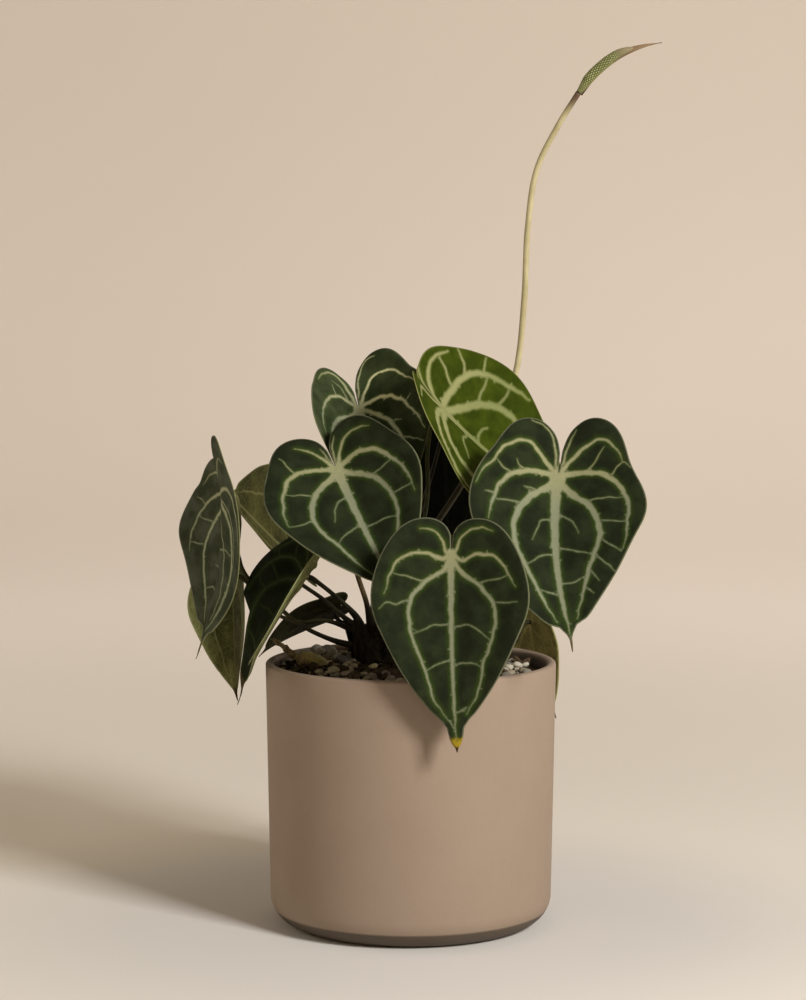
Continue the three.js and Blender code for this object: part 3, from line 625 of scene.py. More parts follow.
def heartRadius(degrees):
    angles, radii = heartOutline.T
    slopes = np.gradient(radii, angles)
    i = np.clip(np.searchsorted(angles, degrees) - 1, 0, len(angles) - 2)
    width = angles[i + 1] - angles[i]
    t = (degrees - angles[i]) / width
    return ((2 * t**3 - 3 * t**2 + 1) * radii[i] + (t**3 - 2 * t**2 + t) * width * slopes[i]
            + (3 * t**2 - 2 * t**3) * radii[i + 1] + (t**3 - t**2) * width * slopes[i + 1])


# (degrees from the tip, share of the way out) as places across and along the flat leaf
def flatPlaces(leaf, places):
    places = np.asarray(places, float)
    degrees, shares = places[:, 0], places[:, 1]
    side = (degrees > 0).astype(int)
    reach = heartRadius(np.abs(degrees)) * leaf["length"] * shares
    across = reach * np.sin(np.radians(degrees)) * np.array(leaf["width"])[side]
    along = reach * np.cos(np.radians(degrees))
    stretch = 1 + (np.array(leaf["lobes"])[side] - 1) * smoothStep(-along / (0.16 * leaf["length"]))
    return np.column_stack([across, along * stretch])


# A line with its small kinks rounded off, its ends kept
def evened(line, reach=5):
    walked = np.concatenate([[0], np.cumsum(np.linalg.norm(np.diff(line, axis=0), axis=1))])
    steps = np.linspace(0, walked[-1], int(walked[-1] / 0.8))
    line = np.column_stack([np.interp(steps, walked, axis) for axis in line.T])
    window = np.exp(-0.5 * (np.arange(-3 * reach, 3 * reach + 1) / reach) ** 2)
    padded = np.pad(line, ((3 * reach, 3 * reach), (0, 0)), mode="edge")
    soft = np.column_stack([np.convolve(axis, window / window.sum(), "valid") for axis in padded.T])
    inner = smoothStep(np.minimum(steps, walked[-1] - steps) / 14 - 0.3)[:, None]
    return line * (1 - inner) + soft * inner


# The leaf's edge as one closed loop of flat places, with a drawn-out tip
def leafEdge(leaf):
    length = leaf["length"]
    tip = np.array(leaf.get("tip", plainTip)) * length
    degrees = np.linspace(0, 180 - blade["slitHalfAngle"], 700)
    halves = []
    for side in (-1, 1):
        half = flatPlaces(leaf, np.column_stack([side * np.maximum(degrees, 1e-6), np.ones_like(degrees)]))
        half = evened(half[half[:, 1] < tip[0][0] - 0.02 * length], leaf.get("evened", 5))
        sides = np.column_stack([side * tip[:, 1], tip[:, 0]])[::-1]
        start = half[:1]
        between = sides[-1:] * 0.45 + start * 0.55 - [[side * 0.2, 0]]
        join = lineThrough(np.vstack([sides[-1:], between, start]), 0.8)[0]
        slit = [(side * (180 - blade["slitHalfAngle"]), share) for share in (0.8, 0.6, 0.42, 0.26)]
        halves.append(np.vstack([sides[:-1], join[:-1], half, flatPlaces(leaf, slit)]))
    hollow = [[0, halves[0][-1][1] + 0.5]]
    loop = np.vstack([halves[0][::-1], [[0, tip[-1][0] + 0.3]], halves[1], hollow])
    walked = np.concatenate([[0], np.cumsum(np.linalg.norm(np.diff(loop, axis=0, append=loop[:1]), axis=1))])
    count = int(walked[-1] / blade["lineSpacing"])
    even = np.linspace(0, walked[-1], count, endpoint=False)
    closed = np.vstack([loop, loop[:1]])
    return np.column_stack([np.interp(even, walked, closed[:, 0]), np.interp(even, walked, closed[:, 1])])


# A vein's line on one side of the leaf, kept a hair off the midrib
def mirrored(line, side):
    return [(side * max(angle, 0.01), share) for angle, share in line]


# Each vein as (kind, smooth line, half-widths along it)
def leafVeins(leaf):
    length = leaf["length"]
    tipShare = leaf.get("tip", plainTip)[1][0]
    found = [("mid", np.array([[0, 0], [0, 0.4 * length], [0, tipShare * length]]))]
    lines = leaf.get("lines")
    if lines is None:
        lines = {kind: [mirrored(line, side) for side in (-1, 1)] for kind, line in plainVeins.items()}
        lines["rung"] = [mirrored(line, side) for side in (-1, 1) for line in plainRungs]
    for kind, several in lines.items():
        for line in several:
            places = flatPlaces(leaf, line)
            if kind != "rung":
                places = np.vstack([[[0, 0]], places])
            found.append((kind, places))
    veins = []
    for number, (kind, places) in enumerate(found):
        line, shares = lineThrough(places, blade["lineSpacing"])
        start, end = veinWidths[kind]
        grown = leaf["veins"] if kind != "rung" else leaf["veins"] ** 0.4
        width = (start + (end - start) * shares ** 0.8) * grown * min(1, length / 75)
        width = width * (0.25 + 0.75 * smoothStep((1 - shares) / (0.45 if kind == "rung" else 0.2)))
        if kind == "mid":
            width = width + 1.6 * grown * np.exp(-shares * length / 6)
        way = unit(np.gradient(line, axis=0))
        sway = np.array([noise.noise(Vector((x * 0.22, y * 0.22, number * 3.7))) for x, y in line])
        swell = np.array([noise.noise(Vector((x * 0.3, y * 0.3, number * 5.1 + 40))) for x, y in line])
        sway = sway * blade["sway"] * smoothStep(shares * 6) * (0.4 if kind == "mid" else 1)
        line = line + np.column_stack([-way[:, 1], way[:, 0]]) * sway[:, None]
        veins.append((kind, line, width / 2 * (1 + 0.3 * swell)))
    return veins


# Distance of every place from a line's edge, below zero inside it
def gapTo(places, line, halfWidths):
    best = np.full(len(places), 1e3)
    for a, b, wa, wb in zip(line, line[1:], halfWidths, halfWidths[1:]):
        step = b - a
        t = np.clip(((places - a) @ step) / max(step @ step, 1e-9), 0, 1)
        away = np.linalg.norm(places - a - t[:, None] * step, axis=1) - (wa + (wb - wa) * t)
        best = np.minimum(best, away)
    return best


# Short thorny offshoots along the wide veins
def addSpurs(veins, draw):
    spurs = []
    for kind, line, halfWidths in veins:
        if kind not in ("mid", "first", "second"):
            continue
        i = 8
        while i < len(line) - 4:
            way = unit(line[i + 1] - line[i - 1])
            side = draw.choice([-1, 1])
            lean = unit(np.array([-way[1], way[0]]) * side + way * draw.uniform(-0.2, 0.9))
            reach = halfWidths[i] + draw.uniform(0.3, 1.2)
            spur = np.array([line[i], line[i] + lean * reach])
            spurs.append(("spur", spur, np.array([halfWidths[i] * 0.6, 0.05])))
            i += int(draw.integers(3, 14))
    return veins + spurs


def insideLoop(places, loop):
    inside = np.zeros(len(places), bool)
    for a, b in zip(loop, np.roll(loop, -1, axis=0)):
        crosses = (a[1] > places[:, 1]) != (b[1] > places[:, 1])
        at = a[0] + (places[:, 1] - a[1]) * (b[0] - a[0]) / (b[1] - a[1] if b[1] != a[1] else 1e-9)
        inside ^= crosses & (places[:, 0] < at)
    return inside


# Keeps the first of any places that fall close together
def thinOut(places, cell):
    seen, kept = set(), []
    for place in places:
        key = (round(place[0] / cell), round(place[1] / cell))
        if key not in seen:
            seen.add(key)
            kept.append(place)
    return np.array(kept)


# Triangles over the whole flat leaf, with points along its edge and its veins
def flatLeaf(leaf, veins, edge):
    low, high = edge.min(axis=0), edge.max(axis=0)
    step = blade["spacing"]
    rows = np.arange(low[1], high[1], step * 0.866)
    grid = np.array([(x + (step / 2 if k % 2 else 0), y) for k, y in enumerate(rows)
                     for x in np.arange(low[0], high[0], step)])
    lines = []
    for kind, line, halfWidths in veins:
        way = unit(np.gradient(line, axis=0))
        side = np.column_stack([-way[:, 1], way[:, 0]]) * halfWidths[:, None]
        lines += [line, line + side, line - side]
        if kind not in ("rung", "spur"):
            lines += [line + side * 1.6 + unit(side) * 0.5, line - side * 1.6 - unit(side) * 0.5]
    lines = thinOut(np.vstack(lines), 0.55)
    inner = edge + unit(np.column_stack([-np.gradient(edge[:, 1]), np.gradient(edge[:, 0])])) * 0.6
    closed = np.vstack([edge, edge[:1]])
    flat = np.zeros(len(closed))
    nearGrid = np.ones(len(grid), bool)
    for place in lines:
        nearGrid &= np.abs(grid - place).max(axis=1) > step * 0.5
    free = np.vstack([lines, grid[nearGrid], inner])
    free = free[insideLoop(free, edge)]
    free = free[gapTo(free, closed, flat) > 0.4]
    loop = [(i, (i + 1) % len(edge)) for i in range(len(edge))]
    places = [Vector(p) for p in np.vstack([edge, free]).tolist()]
    verts, _, triangles, origins, _, _ = delaunay_2d_cdt(places, loop, [], 1, 1e-5, True)
    verts = np.array([tuple(v) for v in verts])
    triangles = np.array(triangles)
    a, b, c = (verts[triangles[:, i]] for i in range(3))
    facing = (b - a)[:, 1] * (c - a)[:, 0] - (b - a)[:, 0] * (c - a)[:, 1]
    triangles[facing < 0] = triangles[facing < 0][:, ::-1]
    triangles = triangles[(np.abs(facing) > 1e-7) & insideLoop((a + b + c) / 3, edge)]
    used, numbers = np.unique(triangles, return_inverse=True)
    return verts[used], numbers.reshape(-1, 3)


# The open edges of a sheet of triangles, each in the direction of its triangle
def openEdges(triangles):
    edges = np.vstack([triangles[:, [0, 1]], triangles[:, [1, 2]], triangles[:, [2, 0]]])
    known = {tuple(e) for e in edges.tolist()}
    return np.array([e for e in edges.tolist() if (e[1], e[0]) not in known])


# A blade of two faces and a rim, with the distances from its veins and edge kept at its points
def makeLeaf(name, leaf, number, materials):
    draw = np.random.default_rng(40 + number)
    edge = leafEdge(leaf)
    veins = addSpurs(leafVeins(leaf), draw)
    flat, triangles = flatLeaf(leaf, veins, edge)
    closed = np.vstack([edge, edge[:1]])
    marginGap = np.maximum(gapTo(flat, closed, np.zeros(len(closed))), 0)
    veinGap, mainGap = np.full((2, len(flat)), 30.0)
    for kind, line, halfWidths in veins:
        gap = gapTo(flat, line, halfWidths)
        veinGap = np.minimum(veinGap, gap)
        if kind in ("mid", "first", "second", "third"):
            mainGap = np.minimum(mainGap, gap)
    length = leaf["length"]
    inland = smoothStep(marginGap / 7)
    quilt = blade["quilt"] * (1 - np.exp(-(np.maximum(mainGap, 0) / blade["quiltReach"]) ** 2)) * inland
    wave = 0.35 * (1 - inland) * np.sin(flat[:, 1] * 0.16 + number * 2.1)
    rimThickness = blade["rimThickness"]
    thickness = rimThickness + (blade["thickness"] - rimThickness) * smoothStep(marginGap / 1.6)
    rise = quilt + wave
    across, along = flat[:, 0].copy(), flat[:, 1]
    across += leaf.get("hook", 0) * np.clip((along / length - 0.84) / 0.16, 0, 1) ** 2
    top = rise + thickness / 2 - blade["groove"] * smoothStep(0.5 - mainGap) * inland
    keel = blade["keel"] * np.sqrt(np.clip(-mainGap, 0, 1.2)) * smoothStep(marginGap / 3)
    under = rise - thickness / 2 - keel
    points = np.vstack([onBlade(leaf, across, along, top), onBlade(leaf, across, along, under)])
    count = len(flat)
    rim = openEdges(triangles)
    faces = triangles.tolist() + (triangles[:, ::-1] + count).tolist()
    faces += [(b, a, a + count, b + count) for a, b in rim]
    slots = [0] * len(triangles) + [1] * (len(triangles) + len(rim))

    low, size = flat.min(axis=0), np.ptp(flat, axis=0).max()
    spread = (flat - low) / size * [0.49, 0.97]
    bakeMap = spread[triangles].reshape(-1, 2).tolist()
    bakeMap += (spread[triangles[:, ::-1]] + [0.505, 0]).reshape(-1, 2).tolist()
    for k in range(len(rim)):
        left, right = k / len(rim), (k + 1) / len(rim)
        bakeMap += [(right, 0.98), (left, 0.98), (left, 0.995), (right, 0.995)]
    values = {"veinGap": veinGap, "mainGap": mainGap, "marginGap": marginGap, "tipShare": along / length}
    values = {label: np.tile(value, 2) for label, value in values.items()}
    values["bladePlace"] = np.tile(np.column_stack([flat, np.full(count, number * 37.0)]), (2, 1))
    return makePiece(f"blade_{name}", points, faces, materials, [f"leaf_{name}"],
                     slots, values, bakeMap)


# The distances kept at a leaf's points, for a group's nodes
def leafMarks(tree):
    gaps = [attribute(tree, label).outputs["Fac"] for label in ("veinGap", "mainGap", "marginGap", "tipShare")]
    return attribute(tree, "bladePlace").outputs["Vector"], *gaps


def giveResults(tree, result, values):
    for label, value in values.items():
        tree.links.new(value, result[label])
    return tree


# Colours and masks of a leaf's upper face
def upperFaceGroup():
    tones = {"Interior": "#222619", "Interior Light": "#2f3522", "Halo": "#3b4f17", "Vein": "#939678",
             "Vein Heart": "#a6a47a", "Margin": "#74755c", "Tip": "#8a7a3a"}
    numbers = {"Halo Reach": 2.6, "Tip Start": 0.95, "Vein Edge": 0.6, "Right Painted Light": 0.0}
    inputs = [(label, "Color", seen(code)) for label, code in tones.items()]
    inputs += [(label, "Float", value) for label, value in numbers.items()]
    outputs = [("Color", "Color"), ("Vein Mask", "Float"), ("Mottle", "Float")]
    tree, given, result = newGroup("leafUpperFace", inputs, outputs)
    where, veinGap, mainGap, marginGap, tipShare = leafMarks(tree)
    ragged = calc(tree, "SUBTRACT", noiseAt(tree, where, 0.85, 3.0, 0.7), 0.5)
    cloud = noiseAt(tree, where, 0.09, 3.0, 0.6)
    fine = noiseAt(tree, where, 1.9, 2.0, 0.6)

    # Masks of the veins, the green beside them and the leaf's right half, whose veins may take painted light
    veinGap = calc(tree, "ADD", veinGap, calc(tree, "MULTIPLY", ragged, 0.75))
    vein = ramp(tree, veinGap, -0.75, given["Vein Edge"], 1.0, 0.0)
    farther = calc(tree, "ADD", mainGap, calc(tree, "MULTIPLY", ragged, 1.3))
    halo = ramp(tree, calc(tree, "DIVIDE", farther, given["Halo Reach"]), -0.1, 1.0, 1.0, 0.0)
    halo = calc(tree, "MAXIMUM", calc(tree, "MULTIPLY", halo, 0.7), ramp(tree, veinGap, 0.0, 1.5, 0.42, 0.0))
    across = addNode(tree, "SeparateXYZ", {0: where}).outputs["X"]
    rightPaintedLight = calc(tree, "MULTIPLY", ramp(tree, across, -4.0, 12.0), given["Right Painted Light"])

    # The velvet, then the veins over it, with painted light that brightens the veins of the right half
    base = blend(tree, ramp(tree, cloud, 0.35, 0.68), given["Interior"], given["Interior Light"])
    base = blend(tree, ramp(tree, fine, 0.4, 0.75, 0.0, 0.1), base, given["Halo"])
    base = blend(tree, halo, base, given["Halo"])
    heart = ramp(tree, tipShare, -0.04, 0.22, 1.0, 0.0)
    veinShade = blend(tree, heart, given["Vein"], given["Vein Heart"])
    veinShade = blend(tree, ramp(tree, fine, 0.35, 0.8, 0.0, 0.25), veinShade, given["Halo"])
    # Painted light: the right half's veins are brightened up to 2.4 times
    bright = blend(tree, 1.0, veinShade, (2.4, 2.4, 2.4, 1.0), "MULTIPLY")
    base = blend(tree, vein, base, blend(tree, rightPaintedLight, veinShade, bright))

    # The pale margin and the brown tip
    edgeGap = calc(tree, "ADD", marginGap, calc(tree, "MULTIPLY", ragged, 0.2))
    base = blend(tree, ramp(tree, edgeGap, 0.25, 0.75, 0.8, 0.0), base, given["Margin"])
    tipEdge = calc(tree, "ADD", tipShare, calc(tree, "MULTIPLY", ragged, 0.06))
    tipMask = ramp(tree, tipEdge, given["Tip Start"], calc(tree, "ADD", given["Tip Start"], 0.03))
    base = blend(tree, tipMask, base, given["Tip"])
    base = blend(tree, ramp(tree, tipShare, 0.985, 1.0), base, seen("#4a3320"))
    return giveResults(tree, result, {"Color": base, "Vein Mask": vein, "Mottle": fine})


# The same for the underside, where the main veins stand out as keels
def lowerFaceGroup():
    tones = {"Flesh": "#5a5f33", "Flesh Dark": "#3c4022", "Vein": "#8c8f60", "Tip": "#4a3a22"}
    inputs = [(label, "Color", colour(code)) for label, code in tones.items()]
    inputs.append(("Tip Start", "Float", 0.86))
    outputs = [("Color", "Color"), ("Vein Mask", "Float"), ("Net", "Float")]
    tree, given, result = newGroup("leafLowerFace", inputs, outputs)
    where, veinGap, mainGap, marginGap, tipShare = leafMarks(tree)
    cloud = noiseAt(tree, where, 0.07, 3.0, 0.6)
    fine = noiseAt(tree, where, 1.5, 2.0, 0.6)
    cells = addNode(tree, "TexVoronoi", {"Vector": where, "Scale": 0.35}, feature="DISTANCE_TO_EDGE")
    net = ramp(tree, cells.outputs[0], 0.0, 0.12, 0.24, 0.0)
    base = blend(tree, ramp(tree, cloud, 0.35, 0.68), given["Flesh"], given["Flesh Dark"])
    base = blend(tree, ramp(tree, fine, 0.4, 0.8, 0.0, 0.2), base, given["Flesh Dark"])
    base = blend(tree, net, base, given["Vein"])
    thin = ramp(tree, veinGap, -0.3, 0.3, 0.55, 0.0)
    vein = calc(tree, "MAXIMUM", thin, ramp(tree, mainGap, -0.9, 0.25, 0.9, 0.0))
    base = blend(tree, vein, base, given["Vein"])
    base = blend(tree, ramp(tree, marginGap, 0.3, 0.9, 0.6, 0.0), base, given["Vein"])
    tipMask = ramp(tree, tipShare, given["Tip Start"], calc(tree, "ADD", given["Tip Start"], 0.08))
    base = blend(tree, tipMask, base, given["Tip"])
    return giveResults(tree, result, {"Color": base, "Vein Mask": vein, "Net": net})


upperFace, lowerFace = upperFaceGroup(), lowerFaceGroup()

# Skins of the upper face and of the underside, with what differs from the plain leaf's
topSkins = {
    "leafTopMature": {"Tip": "#5f5230", "Tip Start": 0.93},
    "leafTopFront": {"Tip": "#a89028", "Tip Start": 0.937},
    "leafTopYoung": {
        "Interior": "#333f0a", "Interior Light": "#445010", "Halo": "#55621e", "Vein": "#8f945e",
        "Vein Heart": "#a2a26e", "Margin": "#7c7c46", "Halo Reach": 1.8, "Vein Edge": 1.3},
    # A darker copy with dim veins, as painted shade
    "leafTopPaintedShade": {
        "Interior": "#23271a", "Interior Light": "#31362a", "Vein": "#4c5340", "Vein Heart": "#5d5f48",
        "Margin": "#4c4c3a", "Tip": "#57492e", "Tip Start": 0.84},
    # Olive tones brightened as painted light, for a leaf that lies in shade
    "leafTopOlivePaintedLight": {
        "Interior": "#57532f", "Interior Light": "#6c683c", "Halo": "#605f34", "Vein": "#7d794e",
        "Vein Heart": "#7d794e", "Margin": "#757148"},
    # An aged tip, with a pale greyish interior and pale veins as painted light and sheen
    "leafTopAgedPaintedSheen": {
        "Interior": "#424937", "Interior Light": "#5f6555", "Halo": "#4c5a38", "Vein": "#bcc4a2",
        "Vein Heart": "#c0c29e", "Margin": "#8d8c74", "Tip": "#7d7a52", "Tip Start": 0.86},
    # A lighter copy, painted light for a leaf that lies partly in shade
    "leafTopPaintedLight": {
        "Interior": "#353e26", "Interior Light": "#4a5236", "Halo": "#49592c", "Vein": "#9a9f82",
        "Vein Heart": "#b4b28a", "Right Painted Light": 1.0},
}
backSkins = {
    "leafBackMature": {},
    "leafBackYoung": {"Flesh": "#6f7439", "Flesh Dark": "#5c632c", "Vein": "#9b9a64"},
    "leafBackLit": {"Flesh": "#7d7f4d", "Flesh Dark": "#53562f", "Vein": "#94956a"},
    # A darker copy, as painted shade
    "leafBackPaintedShade": {"Flesh": "#35351c", "Flesh Dark": "#232412", "Vein": "#4b4b2a"},
    # Olive tones brightened as painted light, for a leaf that lies in shade
    "leafBackOlivePaintedLight": {"Flesh": "#88844f", "Flesh Dark": "#66633a", "Vein": "#a09b68"},
    "leafBackShaded": {"Flesh": "#15170f", "Flesh Dark": "#0e100a", "Vein": "#1e2016"},
}


def upperMaterial(name, settings):
    material, tree, shader = newMaterial(name, Roughness=0.75, Specular_IOR_Level=0.03)
    marks = useGroup(tree, upperFace, settings)
    tree.links.new(ramp(tree, marks["Vein Mask"], 0.0, 1.0, 0.78, 0.66), shader.inputs["Roughness"])
    mottle = calc(tree, "MULTIPLY", marks["Mottle"], 0.6)
    height = calc(tree, "ADD", mottle, calc(tree, "MULTIPLY", marks["Vein Mask"], 0.7))
    return finishMaterial(material, tree, shader, marks["Color"], height, 0.35, 0.0002)


def lowerMaterial(name, settings):
    material, tree, shader = newMaterial(name, Roughness=0.7, Specular_IOR_Level=0.05)
    marks = useGroup(tree, lowerFace, settings)
    tree.links.new(ramp(tree, marks["Vein Mask"], 0.0, 1.0, 0.72, 0.62), shader.inputs["Roughness"])
    return finishMaterial(material, tree, shader, marks["Color"], marks["Net"], 0.5, 0.0002)


# A leaf's upper side takes colours as seen in the light, its underside takes them as they are
def inTones(settings, tone):
    return {label: tone(value) if isinstance(value, str) else value for label, value in settings.items()}


skins = {name: upperMaterial(name, inTones(settings, seen)) for name, settings in topSkins.items()}
skins.update({name: lowerMaterial(name, inTones(settings, colour)) for name, settings in backSkins.items()})
for number, (name, leaf) in enumerate(leaves.items()):
    made = makeLeaf(name, leaf, number, [skins[skin] for skin in leaf["skins"]])
    print("leaf", name, len(made.data.polygons), "faces")


crown = {"x": -17, "y": 0, "radius": 10, "top": 146, "foot": 108, "light": "#3a3322", "dark": "#1c1810"}

# Each petiole leaves the crown at "from", as a turn in degrees and a height, and goes by its "via" points
# to its leaf, which it meets from "reach" below
petioles = {
    "front": {"width": 3.2, "from": (-66, 138), "via": [[-3, -28, 160], [10, -56, 174]], "reach": 9,
        "tone": "dark"},
    "right": {"width": 3.2, "from": (-30, 141), "via": [[14, -16, 164], [44, -27, 186], [61, -27, 204]],
        "reach": 8, "tone": "dark"},
    "mid_left": {"width": 3, "from": (-108, 139), "via": [[-21, -15, 156], [-26, -25, 174],
        [-30, -24, 200]], "reach": 8, "tone": "tan"},
    "top_left": {"width": 3, "from": (100, 142), "via": [[-18, 16, 172], [-22, 38, 212]], "reach": 9,
        "tone": "dark"},
    "young": {"width": 2.6, "from": (20, 143), "via": [[2, 2, 176], [8, -4, 207], [8, -8, 229]], "reach": 6,
        "tone": "green"},
    "far_left": {"width": 2.6, "from": (184, 133), "reach": 5, "tone": "olive", "via": [[-38, -1, 137],
        [-55, 2, 145], [-70, 11, 157.5], [-78, 7, 165], [-82.5, -8, 178], [-81, -25, 198]]},
    "far_left_low": {"width": 2.4, "from": (160, 139), "reach": 4, "tone": "olive", "via": [[-41, 9, 145],
        [-53, 12, 144], [-66, 17.5, 147.5], [-77, 20, 159]]},
    "hanging_left": {"width": 2.8, "from": (-150, 141), "via": [[-27, -4, 149.5], [-36.5, -10, 159.5]],
        "reach": 6, "tone": "dark"},
    "back_left": {"width": 2.6, "from": (135, 139), "via": [[-32, 8, 146.5], [-42, 18, 153.8]], "reach": 7,
        "tone": "dark"},
    "low_left": {"width": 2.4, "from": (112, 136), "via": [[-24, 18, 139]], "reach": 5, "tone": "dark"},
    "back_right": {"width": 2.6, "from": (32, 134), "via": [[10, 12, 133], [36, 24, 130.5],
        [50, 36, 129.2]], "reach": 2.5, "tone": "dark"},
    "back_mid": {"width": 2.6, "from": (62, 142), "via": [[-6, 15, 165], [5, 30, 197], [12, 38, 220]],
        "reach": 7, "tone": "dark"},
}
stemTones = {
    "dark": ("#302f1a", "#1f1b10"), "olive": ("#555232", "#3b3620"), "tan": ("#6d5c3e", "#4c3f28"),
    "green": ("#4c5526", "#3a3f1e"), "pale": ("#b6ab85", "#a39870"),
}
stemFootPaintedShade = "#1c160e"
flowerStalk = {
    "width": 3.0, "end": "#5b4636", "paintedShadeReach": 0.46,
    "route": [[-17, 0, 138], [-15.5, 2.5, 150], [3, 13, 178], [26, 23, 212], [43, 31, 243],
              [51.5, 33, 264.5], [55.5, 32, 300], [57, 29, 335], [61, 25, 363], [71, 20, 384],
              [80.5, 16, 399.5]],
}


# Rings of points round a line, with a radius for every ring and a small ripple
def tubePoints(line, radii, sides, ripple=0.0, seed=0.0):
    way = unit(np.gradient(line, axis=0))
    side = unit(np.cross(way[0], [0.31, 0.9, 0.2]))
    rings = []
    for i, (place, ahead, radius) in enumerate(zip(line, way, radii)):
        side = unit(side - ahead * (side @ ahead))
        other = np.cross(ahead, side)
        for k in range(sides):
            angle = 2 * math.pi * k / sides
            spot = Vector((math.cos(angle) * 1.3 + seed, math.sin(angle) * 1.3, i * 0.12))
            bumpy = 1 + ripple * noise.noise(spot)
            rings.append(place + (side * math.cos(angle) + other * math.sin(angle)) * radius * bumpy)
    return np.vstack([rings, line[:1], line[-1:]])


# Streaked skin that has painted shade towards its foot, up to this share of the way, and may darken at its end
def stemMaterial(name, tone, endTone=None, paintedShadeReach=0.3):
    material, tree, shader = newMaterial(name, Roughness=0.55, Specular_IOR_Level=0.2)
    light, dark = stemTones[tone]
    streaks = noiseAt(tree, attribute(tree, "stemPlace").outputs["Vector"], 1.0, 3.0, 0.65)
    cloud = noiseAt(tree, meshPlace(tree), 90.0, 2.0, 0.6)
    share = attribute(tree, "stemShare").outputs["Fac"]
    base = blend(tree, ramp(tree, cloud, 0.3, 0.7), colour(light), colour(dark))
    base = blend(tree, ramp(tree, streaks, 0.5, 0.75, 0.0, 0.6), base, colour(dark))
    # Painted shade: darker towards the foot, among the leaves round the crown
    base = blend(tree, ramp(tree, share, paintedShadeReach * 0.6, paintedShadeReach, 0.9, 0.0), base, colour(stemFootPaintedShade))
    if endTone:
        base = blend(tree, ramp(tree, share, 0.955, 0.995), base, colour(endTone))
    return finishMaterial(material, tree, shader, base, streaks, 0.4, 0.0002)


# A stem along a route, whose profile gives the share of its width at a share of its length
def makeStem(name, route, width, profile, material, replaced, ripple=0.06):
    sides, spacing = 14, 1.1
    line, shares = lineThrough(route, spacing)
    route = np.asarray(route, float)
    length = sum(np.linalg.norm(b - a) for a, b in zip(route, route[1:]))
    radii = np.array([width / 2 * profile(share, length) for share in shares])
    points = tubePoints(line, radii, sides, ripple, seed=len(name))
    angles = np.linspace(0, 2 * math.pi, sides, endpoint=False)
    walked = shares * np.sum(np.linalg.norm(np.diff(line, axis=0), axis=1))
    place = [(math.cos(a) * 2.2, math.sin(a) * 2.2, w * 0.12 + len(name)) for w in walked for a in angles]
    place += [(0, 0, 0), (0, 0, walked[-1] * 0.12)]
    values = {"stemPlace": place, "stemShare": np.concatenate([np.repeat(shares, sides), [0, 1]])}
    makePiece(name, points, ringFaces(len(line), sides), [material], replaced, values=values)


# Wider at the crown, and at the knee under the blade
def petioleProfile(share, length):
    fromCrown, toBlade = share * length, (1 - share) * length
    sheath = 0.42 * math.exp(-((fromCrown - 6) / 9) ** 2)
    knee = 0.26 * math.exp(-((toBlade - 4.5) / 3.6) ** 2)
    return 0.84 + sheath + knee - 0.1 * share


def stalkProfile(share, length):
    return 1.05 - 0.1 * share


def petioleRoute(petiole, leaf):
    below = -leafDirections(leaf)[2]
    turn, height = petiole["from"]
    outward = np.array([math.cos(math.radians(turn)), math.sin(math.radians(turn)), 0])
    start = np.array([crown["x"], crown["y"], height]) + outward * (crown["radius"] - 4.5)
    end = np.array(leaf["at"]) + below * 0.75
    via = [np.array(p, float) for p in petiole["via"]]
    return [start] + via + [end + below * petiole["reach"], end - below * 0.35]


stemSkins = {tone: stemMaterial("stem" + tone.capitalize(), tone) for tone in stemTones if tone != "pale"}
for name, petiole in petioles.items():
    makeStem(f"stalk_{name}", petioleRoute(petiole, leaves[name]), petiole["width"], petioleProfile,
             stemSkins[petiole["tone"]], [f"petiole_{name}"])
print("petioles made")

stalkSkin = stemMaterial("stemPale", "pale", flowerStalk["end"], flowerStalk["paintedShadeReach"])
makeStem("flower_stalk", flowerStalk["route"], flowerStalk["width"], stalkProfile, stalkSkin,
         ["peduncle"], ripple=0.03)

flower = {
    "route": [[80.7, 16, 399.8], [86, 15, 407], [93, 14, 413.5], [99.5, 13, 418], [106, 12, 420.5]],
    "radius": 2.5, "around": 12, "rows": 30, "relief": 0.42, "sides": 72,
    "furrow": "#454e20", "green": "#8a8750", "stipple": "#b9b384", "ripe": "#937f66",
}
spathe = {
    "route": [[80.9, 17.4, 399.2], [86, 17.6, 406.3], [93, 16.8, 412.9], [99.5, 15.4, 417.2],
              [106, 13.2, 419.9], [112, 11.6, 421.6], [120, 11, 423]],
    "width": 4.4, "thickness": 0.6, "columns": 12,
    "tone": "#8a7358", "foot": "#4a3830", "streak": "#8a7a5c", "tip": "#5a3f30",
}


def spadixMaterial():
    material, tree, shader = newMaterial("spadixSkin", Roughness=0.55, Specular_IOR_Level=0.35)
    floret = attribute(tree, "floret").outputs["Fac"]
    share = attribute(tree, "stemShare").outputs["Fac"]
    cloud = noiseAt(tree, meshPlace(tree), 600.0, 2.0, 0.6)
    base = blend(tree, ramp(tree, floret, 0.1, 0.95), colour(flower["furrow"]), colour(flower["green"]))
    dotted = ramp(tree, calc(tree, "MULTIPLY", floret, cloud), 0.26, 0.52, 0.0, 0.9)
    base = blend(tree, dotted, base, colour(flower["stipple"]))
    base = blend(tree, ramp(tree, share, 0.66, 0.95, 0.0, 0.6), base, colour(flower["ripe"]))
    return finishMaterial(material, tree, shader, base, cloud, 0.4, 0.0002)


